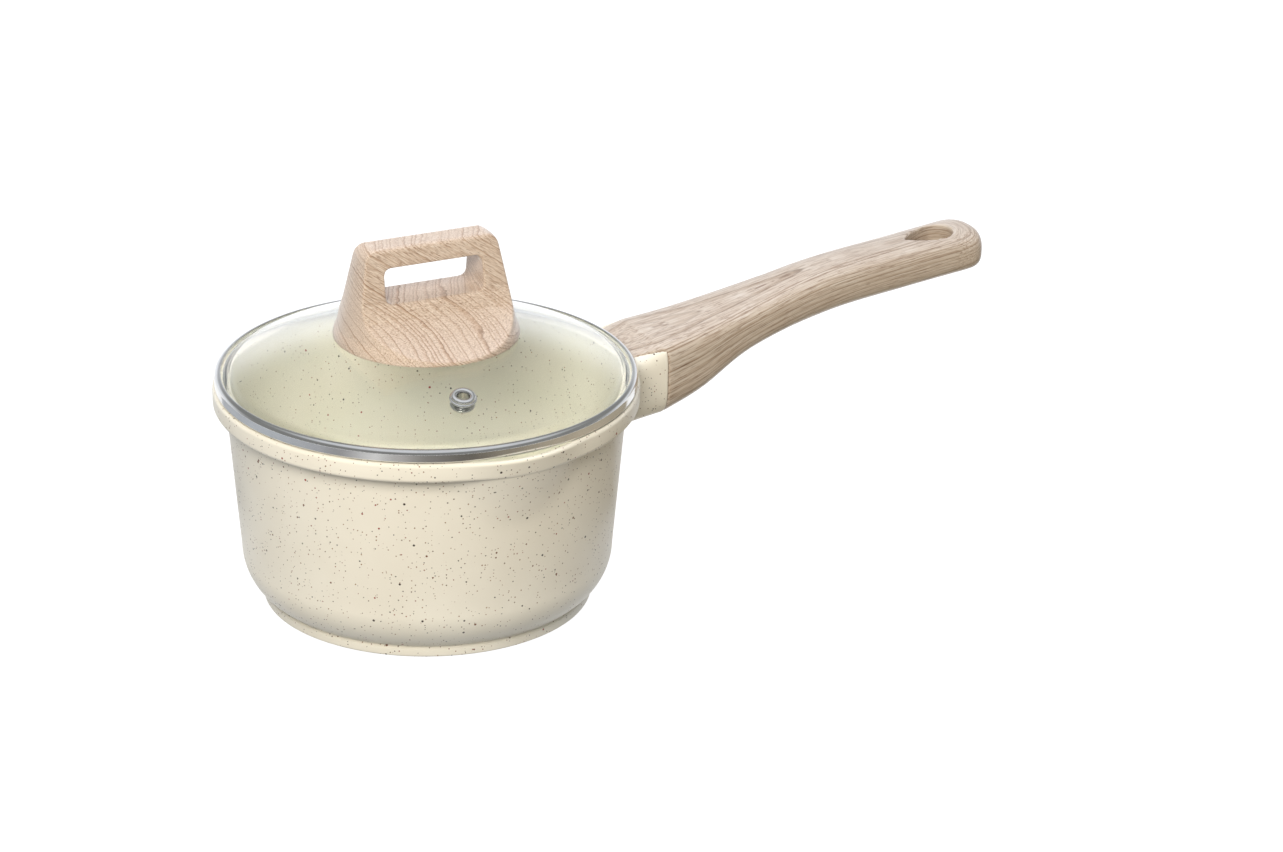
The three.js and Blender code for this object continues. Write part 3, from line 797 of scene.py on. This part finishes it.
# Stations along the handle: share of its length, top and bottom above the rim, half width.
STATIONS = np.array(
    [
        (0, 3.2, -29.5, 21.3),
        (0.12, 5.6, -23.1, 19.6),
        (0.28, 10.3, -10.2, 16.8),
        (0.52, 18, -1.6, 14.3),
        (0.77, 21.3, 2.6, 14.6),
        (1, 23.6, 6.2, 16.4),
    ]
)


def station(t):
    """Share, top, bottom and half width at t, on a smooth curve through the stations."""
    place = t * (len(STATIONS) - 1)
    first = min(int(place), len(STATIONS) - 2)
    w = place - first
    a, b = STATIONS[max(first - 1, 0)], STATIONS[first]
    c, d = STATIONS[first + 1], STATIONS[min(first + 2, len(STATIONS) - 1)]
    start, end = (c - a) / 2, (d - b) / 2
    cubic = (2 * b - 2 * c + start + end) * w**3 + (-3 * b + 3 * c - 2 * start - end) * w**2
    return cubic + start * w + b


def handle_section(t):
    """(x, top, bottom, half width, squareness above, squareness below) along the handle."""
    share, top, bottom, half = station(t)
    into = max(0, 1 - (1 - share) * HANDLE_LENGTH / TIP_ROUND)
    narrowing = max((1 - into**3) ** (1 / 3), 0)
    thinning = TIP_THINNING * (1 - (1 - into**4) ** 0.25)
    firm = min(1, share * 2.5)
    return (
        SEAM + share * HANDLE_LENGTH,
        PAN_HEIGHT + top - thinning,
        PAN_HEIGHT + bottom + thinning,
        half * max(narrowing, 0.3),
        6 - 3 * firm,
        3.6 - firm,
    )


def lug_section(t):
    """The same from inside the pan's wall to the seam."""
    _, top, bottom, half, square, rounding = handle_section(0)
    ease = t**0.6
    x = LUG_START + (SEAM - LUG_START) * t
    outside = max(0, (x - RIM_RADIUS) / (SEAM - RIM_RADIUS))
    return (
        x,
        PAN_HEIGHT - 0.2 + (top - PAN_HEIGHT + 0.2) * outside,
        bottom - LUG_DROP + LUG_DROP * ease,
        LUG_HALF_WIDTH + (half - LUG_HALF_WIDTH) * ease,
        square,
        rounding,
    )


def lofted(name, sections):
    """A solid drawn through cross-sections, squarer above its widest line than below it."""
    angles = np.linspace(0, 2 * math.pi, 120, endpoint=False)
    rows = []
    for x, top, bottom, half, square, rounding in sections:
        widest = bottom + 0.52 * (top - bottom)
        row = []
        for a in angles:
            power = 2 / (square if math.cos(a) > 0 else rounding)
            across = math.copysign(abs(math.sin(a)) ** power, math.sin(a))
            up = math.copysign(abs(math.cos(a)) ** power, math.cos(a))
            height = top - widest if up > 0 else widest - bottom
            row.append((x, -half * across, widest + height * up))
        rows.append(row)
    first = [(rows[0][0][0], 0, np.mean([p[2] for p in rows[0]]))]
    last = [(rows[-1][0][0], 0, np.mean([p[2] for p in rows[-1]]))]
    return skinned(name, [first] + rows + [last])


def cradle_outline(play):
    """Plan of the cradle that the handle's tongue fills."""
    start = RIM_RADIUS - 2
    narrow = LUG_HALF_WIDTH - CHEEK_AT_PAN - CHEEK_AT_SEAM + play
    wide = handle_section(0)[3] - CHEEK_AT_SEAM + play
    end = SEAM + 1
    return [(start, -narrow), (end, -wide), (end, wide), (start, narrow)]


def lug():
    """The cast cheeks and floor that hold the handle, with softly rounded edges."""
    ends = 1 - SEAM_GAP / (SEAM - LUG_START)
    body = lofted("lug", [lug_section(t) for t in np.linspace(0, ends, 30)])
    cradle = prism("cradle", cradle_outline(FIT), CRADLE_FLOOR, PAN_HEIGHT + 20)
    keep = rod("keep_out", WALL_TOP_RADIUS - 1.4, 0, CLEAR_ABOVE)
    bore = to_screw(rod("lug_bore", BORE_RADIUS, 50, 100, 48))
    sink = to_screw(rod("lug_sink", SINK_RADIUS, 40, SINK_TOP, 64))
    cuts = [("DIFFERENCE", tool) for tool in (cradle, bore, sink, keep)]
    carved(body, cuts, 0.4)
    soften(body, 5)
    return finish_piece(body, "pan", "speckled_coating", outer_coating, sharp=60)


def hang_outline():
    """The hanging hole: round towards the tip and pointed towards the pan."""
    middle = HANDLE_TIP - HANG_END - HANG_RADIUS
    point = HANDLE_TIP - HANG_POINT
    bend, end = (middle - HANG_TAPER, HANG_RADIUS), (middle, HANG_RADIUS)
    curve = curve_through((point, 0), bend, end, np.linspace(0, 1, 16))
    half_turn = [
        (middle + HANG_RADIUS * math.sin(a), HANG_RADIUS * math.cos(a))
        for a in np.linspace(0, math.pi, 40)[1:-1]
    ]
    lower = [(x, -y) for x, y in reversed(curve[1:])]
    return list(reversed(curve + half_turn + lower))


def handle_grain(points):
    """Grain coordinates that flow along the handle and wrap round the hanging hole's end."""
    table = np.array([handle_section(t)[:4] for t in np.linspace(0, 1, 200)])
    x, y, z = points.T
    top, bottom, half = (np.interp(x, table[:, 0], table[:, i]) for i in (1, 2, 3))
    middle = HANDLE_TIP - HANG_END - HANG_RADIUS
    bar_half, bar_height = 15, 24  # the straight bar whose grain is bent to the handle's shape
    lean, level = 0.42, 0.9  # sine and cosine of the layers' lean, 25 degrees
    climb = 0.035  # how far the layers climb for each millimetre along the handle
    beyond = np.maximum(x - middle, 0)
    aside = np.hypot(np.sqrt(y**2 + 4), beyond) / np.maximum(half, 12) * bar_half
    along = np.where(x > middle, middle + aside * np.arctan2(beyond, np.abs(y) + 0.1), x)
    up = (z - (top + bottom) / 2) / (top - bottom) * bar_height
    layer = lean * aside - level * up + climb * along
    across = level * aside + lean * up
    return np.stack([along, across, layer], axis=1)


def set_grain(piece, grain):
    """Stores the grain coordinates, given in millimetres, on the piece's points in metres."""
    store = piece.data.attributes.new("grain", "FLOAT_VECTOR", "POINT")
    store.data.foreach_set("vector", (grain * MM).ravel())


def handle():
    """The grip with its tongue in the cradle and its hanging hole, in one moulding."""
    start = SEAM_GAP / HANDLE_LENGTH
    shares = np.concatenate([np.linspace(start, 0.93, 90), np.linspace(0.935, 1, 34)])
    grip = lofted("grip", [handle_section(t) for t in shares])
    tongue = lofted("tongue", [lug_section(t) for t in np.linspace(0, 1, 24)])
    room = prism("room", cradle_outline(0), CRADLE_FLOOR + FIT, PAN_HEIGHT + 20)
    clear = rod("pan_clear", RIM_RADIUS + FIT, 0, CLEAR_ABOVE)
    carved(tongue, [("INTERSECT", room), ("DIFFERENCE", clear)])
    hang = prism("hang", hang_outline(), 60, 150)
    carved(grip, [("UNION", tongue), ("DIFFERENCE", hang)], 0.5)
    soften(grip, 10)
    set_grain(grip, handle_grain(points_of(grip)))
    return finish_piece(grip, "pan", "wood_look_resin", handle_wood, "handle_grip", sharp=70)


def base_disc():
    """The steel disc in the foot's recess, spun with shallow grooves."""
    profile = [(0, 0.25)]
    for groove in range(8, int(PLATE_RADIUS) - 2, 7):
        first = 0.0 if groove == 8 else 0.02
        profile += [(groove - 0.9, first), (groove, 0.32), (groove + 0.9, 0.02)]
    profile += [(PLATE_RADIUS - 0.3, 0.0), (PLATE_RADIUS, 0.3)]
    profile += [(PLATE_RADIUS, PLATE_TOP), (0, PLATE_TOP)]
    disc = turned("base_disc", profile, 256)
    return finish_piece(disc, "pan", "steel", spun_steel, "base_plate", sharp=50)


# ---------------------------------------------------------------- lid


def dome_height(r):
    """Height of the dome's outside at a radius."""
    return DOME_CENTRE + math.sqrt(DOME_RADIUS**2 - r**2)


def rim_roll(inset, steps):
    """The rolled upper corner of the rim, set in from its outside."""
    size = RING_ROUND - inset
    return arc(RING_RADIUS - RING_ROUND, RING_TOP - RING_ROUND, size, size, 0, 90, steps)


def rim_ring():
    """The rolled steel channel round the glass."""
    leg = RING_RADIUS - RING_LEG
    profile = [(leg, RING_BOTTOM + 0.15)]
    profile += arc(leg + 0.15, RING_BOTTOM + 0.15, 0.15, 0.15, 180, 270, 3)
    profile += arc(RING_RADIUS - 1, RING_BOTTOM + 1, 1, 1, -90, 0, 6)
    profile += rim_roll(0, 12)
    profile += arc(leg + 0.2, RING_TOP - 0.25, 0.25, 0.25, 90, 180, 4)
    profile += [(leg, RING_TOP - SHEET)]
    profile += rim_roll(SHEET, 10)[::-1]
    profile += [(RING_RADIUS - SHEET, RING_BOTTOM + SHEET), (leg, RING_BOTTOM + SHEET)]
    ring = turned("rim_ring", profile + [profile[0]], 320)
    return finish_piece(ring, "lid", "steel", polished_steel, "lid_rim_ring", sharp=50)


def rim_liner():
    """The thin seal between the steel and the glass."""
    inset = SHEET + 0.1
    inside = RING_RADIUS - RING_LEG + 0.2
    low, high = RING_BOTTOM + inset, RING_TOP - inset
    profile = [(inside, low), (RING_RADIUS - inset, low)] + rim_roll(inset, 6)
    profile += [(inside, high), (inside, high - LINER)] + rim_roll(inset + LINER, 6)[::-1]
    profile += [(RING_RADIUS - inset - LINER, low + LINER), (inside, low + LINER), (inside, low)]
    liner = turned("rim_liner", profile, 256)
    return finish_piece(liner, "lid", "silicone", milky_silicone, "lid_rim_seal")


def glass_dome():
    """The pressed and tempered dome, with a ground flat edge and its two holes."""
    flat = RING_RADIUS - RING_LEG - 0.6
    radii = np.linspace(GLASS_HOLE, flat - 4, 40)
    profile = [(GLASS_HOLE, dome_height(GLASS_HOLE) - GLASS)]
    profile += [(r, dome_height(r) - GLASS) for r in radii[1:]]
    profile += [(flat - 1.5, GLASS_EDGE + 0.35), (flat, GLASS_EDGE), (GLASS_RADIUS - 0.4, GLASS_EDGE)]
    profile += arc(GLASS_RADIUS - 0.6, GLASS_EDGE + 0.6, 0.6, 0.6, -60, 0, 3)
    profile += rim_roll(RING_RADIUS - GLASS_RADIUS, 6)
    profile += [(flat + 0.6, GLASS_EDGE + GLASS), (flat, GLASS_EDGE + GLASS + 0.25)]
    profile += [(r, dome_height(r)) for r in radii[::-1]]
    dome = turned("glass_dome", profile + [profile[0]], 256)
    hole = at_vent(rod("vent_hole", VENT_HOLE, -20, 20, 64))
    carved(dome, [("DIFFERENCE", hole)])
    return finish_piece(dome, "lid", "lid_glass", clear_glass, "lid_glass", sharp=30)


def at_vent(piece):
    """Moves a piece from the vent's own frame, square to the glass, to its place on the dome."""
    tilt = math.asin(VENT_RADIUS / DOME_RADIUS)
    place = Matrix.Rotation(VENT_ANGLE, 4, "Z")
    place @= Matrix.Translation((VENT_RADIUS * MM, 0, dome_height(VENT_RADIUS) * MM))
    piece.data.transform(place @ Matrix.Rotation(tilt, 4, "Y"))
    return piece


def vent():
    """The rolled steel eyelet, its gasket on the glass and its washer under it."""
    seat = VENT_SEAT
    tail = -GLASS - 0.8
    corners = [
        (VENT_BORE, tail - SHEET, 0),
        (VENT_TAIL, tail - SHEET, 0.3),
        (VENT_TAIL, tail, 0.15),
        (VENT_SLEEVE, tail, 0.1),
        (VENT_SLEEVE, seat, 0.1),
        (VENT_FLANGE, seat, 0.15),
        (VENT_FLANGE, seat + 0.6, 0.35),
        (VENT_COLLAR, seat + 0.75, 0.3),
        (VENT_COLLAR, seat + 1.7, 0.4),
        (VENT_COLLAR - 0.7, seat + 2.15, 0.5),
        (VENT_BORE + 0.7, seat + 2.15, 0.5),
        (VENT_BORE, seat + 1.5, 0.6),
        (VENT_BORE, tail - SHEET, 0),
    ]
    eyelet = at_vent(turned("vent_sleeve", eased(corners), 96))
    finish_piece(eyelet, "lid", "steel", polished_steel, "vent_eyelet", sharp=60)
    inner, outer = VENT_HOLE, VENT_PAD
    pad = [(inner, 0.15, 0), (outer, 0.15, 0.1), (outer, 0.55, 0.1)]
    pad += [(inner, 0.55, 0), (inner, 0.15, 0)]
    gasket = at_vent(turned("vent_pad", eased(pad), 64))
    finish_piece(gasket, "lid", "silicone", milky_silicone, "vent_gasket")
    low = -GLASS - 0.65
    high = low + SHEET
    ring = [(inner, low, 0), (outer, low, 0.12), (outer, high, 0.12)]
    ring += [(inner, high, 0), (inner, low, 0)]
    washer = at_vent(turned("vent_backing", eased(ring), 64))
    finish_piece(washer, "lid", "steel", polished_steel, "vent_washer")


def side_outline():
    """Side view of the knob: a slim loop whose faces sweep out below the crease into the skirt."""
    edge, wide = KNOB_EDGE + 1, LOOP_BASE_HALF
    start, bend, end = (edge, KNOB_BASE + 1), (wide + 8, KNOB_BASE + 6), (wide, CREASE)
    half = [(edge, KNOB_BASE - 8)] + curve_through(start, bend, end, np.linspace(0, 1, 14))
    half.append((wide - CREASE_STEP, CREASE + CREASE_RISE))
    half += arc(LOOP_TOP_HALF - 2.2, KNOB_TOP - 2.2, 2.4, 2.2, 5, 90, 8)
    return half + [(-x, z) for x, z in reversed(half)]


def window_outline():
    """The finger opening, with rounded corners."""
    outline = []
    for sign_x, sign_z, start in ((1, -1, -90), (1, 1, 0), (-1, 1, 90), (-1, -1, 180)):
        x = sign_x * (WINDOW_HALF - WINDOW_ROUND)
        z = WINDOW_BOTTOM + WINDOW_ROUND if sign_z < 0 else WINDOW_TOP - WINDOW_ROUND
        outline += arc(x, z, WINDOW_ROUND, WINDOW_ROUND, start, start + 90, 8)
    return outline


def knob():
    """The loop knob: a cone cut by two swept faces, opened by the window and cored from below."""
    shoulder = KNOB_SHOULDER
    profile = [(0, KNOB_BASE - 6), (KNOB_EDGE, KNOB_BASE - 6), (KNOB_EDGE, KNOB_BASE + 0.8)]
    profile += [(KNOB_EDGE - 0.5, KNOB_BASE + 3), (KNOB_EDGE - 1.5, KNOB_BASE + 5)]
    profile += arc(KNOB_TOP_RADIUS - 5, KNOB_TOP - shoulder, shoulder, shoulder, 8, 90, 14)
    profile += [(0, KNOB_TOP)]
    cone = turned("loop_knob", profile, 256)
    stand = Matrix.Rotation(math.pi / 2, 4, "X")
    sides = prism("sides", side_outline(), -60, 60, Matrix.Rotation(math.pi / 2, 4, "Z") @ stand)
    window = prism("window", window_outline(), -50, 50, stand)
    below = [(0, DOME_APEX - 30)]
    below += [(r, dome_height(r) + 0.6) for r in np.linspace(60, 12, 30)]
    below += [(11, DOME_APEX + 2.1), (0, DOME_APEX + 2.1)]
    under = turned("under", below, 192)
    boss, skirt = KNOB_BOSS, KNOB_HOLLOW
    roof = [(boss, KNOB_BASE - 6), (skirt, KNOB_BASE - 6), (skirt, KNOB_BASE + 2.6)]
    roof += [(boss + 2, KNOB_BASE + 7), (boss, KNOB_BASE + 7), (boss, KNOB_BASE - 6)]
    core = turned("core", roof, 128)
    socket = rod("socket", INSERT_HOLE, 100, INSERT_HOLE_TOP, 64)
    steps = [("INTERSECT", sides)]
    steps += [("DIFFERENCE", tool) for tool in (window, under, core, socket)]
    carved(cone, steps, 0.42)
    soften(cone, 8, lambda p: np.clip((p[:, 2] - KNOB_BASE - 1) / 6, 0.12, 1))
    # Straight grain, as if cut from one block
    fibre = Vector((0.81, 0.02, -0.585)).normalized()
    layers = Vector((0.55, -0.26, 0.79)).normalized()
    across = layers.cross(fibre).normalized()
    axes = np.array([fibre, across, layers])
    set_grain(cone, points_of(cone) @ axes.T)
    return finish_piece(cone, "lid", "wood_look_resin", knob_wood, "knob", sharp=70)


# ---------------------------------------------------------------- fasteners


def screw(name, seat, tip):
    """A pan-head screw that points up, with a cross recess in its head."""
    corners = [
        (0, seat - SCREW_HEAD_HEIGHT, 0),
        (SCREW_HEAD_RADIUS - 1.3, seat - SCREW_HEAD_HEIGHT, 0.8),
        (SCREW_HEAD_RADIUS, seat - 1.2, 0.8),
        (SCREW_HEAD_RADIUS, seat, 0.2),
        (SCREW_RADIUS, seat, 0.1),
    ]
    profile = eased(corners)
    for turn in np.arange(seat + 1, tip - 1.2, SCREW_PITCH):
        profile += [(SCREW_RADIUS, turn), (SCREW_ROOT, turn + SCREW_PITCH / 2)]
    profile += [(SCREW_RADIUS, tip - 0.8), (SCREW_RADIUS - 0.8, tip), (0, tip)]
    body = turned(name, profile, 64)
    arm, slot = 2.3, 0.5  # half length and half width of the recess's arms
    wide = [(-arm, -slot), (arm, -slot), (arm, slot), (-arm, slot)]
    tall = [(-y, x) for x, y in wide]
    cuts = [prism(name + str(i), o, seat - 4, seat - 1.3) for i, o in enumerate((wide, tall))]
    carved(body, [("DIFFERENCE", cut) for cut in cuts])
    return body


def tube(name, inner, outer, low, high):
    """A washer, gasket or sleeve with eased edges."""
    ease = 0.15
    corners = [(inner, low, 0), (outer, low, ease), (outer, high, ease)]
    corners += [(inner, high, 0), (inner, low, 0)]
    return turned(name, eased(corners), 96)


def fasteners():
    """The screws, washers, inserts and gaskets, each on its CAD piece's own axis."""
    for name, node_name, inner, outer, body, slot, material in (
        ("handle_sleeve", "handle_insert", 2.6, 4, "pan", "brass", turned_brass),
        ("handle_washer", "handle_lock_washer", BORE_RADIUS, 4.9, "pan", "steel", spun_steel),
        ("knob_sleeve", "knob_insert", 2.6, 4, "lid", "brass", turned_brass),
        ("knob_backing", "knob_washer", BORE_RADIUS, 7.5, "lid", "steel", spun_steel),
        ("gasket_above", "knob_gasket_upper", BORE_RADIUS, 10, "lid", "silicone", milky_silicone),
        ("gasket_below", "knob_gasket_lower", BORE_RADIUS, 9, "lid", "silicone", milky_silicone),
    ):
        low, high = (corner.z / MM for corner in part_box(node_name))
        piece = tube(name, inner, outer, low, high)
        if body == "pan":
            to_screw(piece)
        finish_piece(piece, body, slot, material, node_name)
    for name, node_name, body in (
        ("handle_bolt", "handle_screw", "pan"),
        ("knob_bolt", "knob_screw", "lid"),
    ):
        low, high = (corner.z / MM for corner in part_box(node_name))
        piece = screw(name, low + SCREW_HEAD_HEIGHT, high)
        if body == "pan":
            to_screw(piece)
        finish_piece(piece, body, "steel", polished_steel, node_name)


# ---------------------------------------------------------------- studio


def camera():
    """A long lens that looks down on the pan by 23 degrees, with the handle to the right."""
    lens = bpy.data.cameras.new("camera")
    lens.sensor_width = SENSOR
    lens.lens = LENS
    lens.clip_end = 20
    eye = bpy.data.objects.new("camera", lens)
    bpy.context.scene.collection.objects.link(eye)
    back = Vector(CAMERA_BACK).normalized()
    right = Vector(CAMERA_RIGHT).normalized()
    up = back.cross(right)
    across = right * math.cos(CAMERA_ROLL) + up * math.sin(CAMERA_ROLL)
    upward = up * math.cos(CAMERA_ROLL) - right * math.sin(CAMERA_ROLL)
    place = Vector(CAMERA_AIM) * MM + back * CAMERA_DISTANCE
    axes = Matrix((across, upward, back)).transposed().to_4x4()
    eye.matrix_world = Matrix.Translation(place) @ axes
    bpy.context.scene.camera = eye


def softbox(name, place, target, width, height, power, tone):
    """A soft studio lamp that faces a point."""
    light = bpy.data.lights.new(name, "AREA")
    light.shape = "RECTANGLE"
    light.size = width
    light.size_y = height
    light.energy = power
    light.color = linear(tone)[:3]
    lamp = bpy.data.objects.new(name, light)
    bpy.context.scene.collection.objects.link(lamp)
    lamp.location = place
    way = Vector(target) - Vector(place)
    lamp.rotation_euler = way.to_track_quat("-Z", "Y").to_euler()
    lamp.visible_glossy = False  # the shine comes from the sky and the card
    return lamp


def sky():
    """A pale sky: brighter overhead and low down behind the pan, like a white backdrop."""
    world = bpy.data.worlds.new("sky")
    world.use_nodes = True
    tree = world.node_tree
    way = node(tree, "ShaderNodeTexCoord").outputs["Generated"]
    height = node(tree, "ShaderNodeSeparateXYZ", {"Vector": way}).outputs["Z"]
    behind = node(
        tree, "ShaderNodeVectorMath", {0: way, 1: BEHIND}, operation="DOT_PRODUCT"
    ).outputs["Value"]
    backdrop = node(
        tree,
        "ShaderNodeMapRange",
        {"Value": behind, "From Min": 0.1, "From Max": 0.8},
        interpolation_type="SMOOTHSTEP",
    ).outputs["Result"]
    low = node(
        tree,
        "ShaderNodeMapRange",
        {"Value": height, "From Min": 0.5, "From Max": 0.2},
        interpolation_type="SMOOTHSTEP",
    ).outputs["Result"]
    sheet = node(tree, "ShaderNodeMath", {0: backdrop, 1: low}, operation="MULTIPLY").outputs[0]
    above = node(
        tree,
        "ShaderNodeMapRange",
        {"Value": height, "From Min": 0.66, "From Max": 0.95, "To Max": 0.7},
        interpolation_type="SMOOTHSTEP",
    ).outputs["Result"]
    bright = node(tree, "ShaderNodeMath", {0: sheet, 1: above}, operation="MAXIMUM").outputs[0]
    tone = node(
        tree,
        "ShaderNodeMix",
        {SHARE: bright, UNDER: linear("#858685"), OVER: linear("#f6f9ff")},
        data_type="RGBA",
    ).outputs[MIXED]
    ground = tree.nodes["Background"]
    tree.links.new(tone, ground.inputs["Color"])
    ground.inputs["Strength"].default_value = 1.12
    bpy.context.scene.world = world


def studio():
    """A white sweep that glows, a softbox high behind the pan, and one in front of it, a little to
    the camera's left."""
    sky()
    bpy.context.scene.view_settings.view_transform = "Standard"
    half = 4000
    corners = [(-half, -half, 0), (half, -half, 0), (half, half, 0), (-half, half, 0)]
    floor = made("floor", corners, [(0, 1, 2, 3)])
    floor.location.z = -0.0002  # just under the foot
    material, tree, output = finish_of("white_sweep")
    place = node(tree, "ShaderNodeTexCoord").outputs["Object"]
    cloud = node(tree, "ShaderNodeTexNoise", {"Vector": place, "Scale": 2})
    tone = node(
        tree,
        "ShaderNodeValToRGB",
        {"Fac": cloud.outputs["Fac"]},
        [(0.3, "#646463"), (0.7, "#686868")],
    ).outputs["Color"]
    shader = node(
        tree,
        "ShaderNodeBsdfPrincipled",
        {
            "Base Color": tone,
            "Roughness": 0.9,
            "Emission Color": linear("#ffffff"),
            "Emission Strength": 0.99,
        },
    )
    tree.links.new(shader.outputs[0], output.inputs["Surface"])
    floor.data.materials.append(material)
    floor.visible_diffuse = False
    overhead = softbox("overhead", (0.45, 0.78, 1.3), (0.05, 0, 0.1), 1.2, 1.0, 17, "#e3ecff")
    overhead.visible_transmission = False  # or its outline shows in the lid's glass
    softbox("key", (-0.74, -0.914, 1.05), (0, 0, 0.05), 0.7, 0.7, 24, "#fffaf0")


def grey_card():
    """A card of several greys that lies round the pan, seen by bounced light and not by the camera.
    It shapes the light from below, gives the steel something dark to show, and is open behind."""
    sweep = math.radians(125)
    inner, outer, height = 130, 1500, 1
    angles = np.linspace(FRONT - sweep, FRONT + sweep, 120)
    rows = [[(r * math.cos(a), r * math.sin(a), height) for a in angles] for r in (inner, outer)]
    points = rows[0] + rows[1]
    count = len(angles)
    faces = [(k, k + count, k + count + 1, k + 1) for k in range(count - 1)]
    card = made("grey_card", points, faces)
    material, tree, output = finish_of("grey_card")
    place = node(tree, "ShaderNodeTexCoord").outputs["Object"]
    aim = node(tree, "ShaderNodeVectorMath", {0: place}, operation="NORMALIZE").outputs[0]
    left = FRONT - math.radians(90)
    side = node(
        tree,
        "ShaderNodeVectorMath",
        {0: aim, 1: (math.cos(left), math.sin(left), 0)},
        operation="DOT_PRODUCT",
    ).outputs["Value"]
    share = node(tree, "ShaderNodeMapRange", {"Value": side, "From Min": -1}).outputs["Result"]
    tone = node(
        tree,
        "ShaderNodeValToRGB",
        {"Fac": share},
        [
            (0, "#bbb09b"),
            (0.3, "#6f6a62"),
            (0.5, "#9a9793"),
            (0.6, "#c4c2c0"),
            (0.68, "#e8e8e8"),
            (0.8, "#a4a4a6"),
            (1, "#c6cbd2"),
        ],
    ).outputs["Color"]
    glow = node(tree, "ShaderNodeEmission", {"Color": tone, "Strength": 1.0})
    tree.links.new(glow.outputs[0], output.inputs["Surface"])
    card.data.materials.append(material)
    card.visible_camera = False
    card.visible_shadow = False
    card.visible_transmission = False


camera()
pan_shell()
lug()
handle()
base_disc()
rim_ring()
rim_liner()
glass_dome()
vent()
knob()
fasteners()
studio()
grey_card()

bpy.context.view_layer.update()
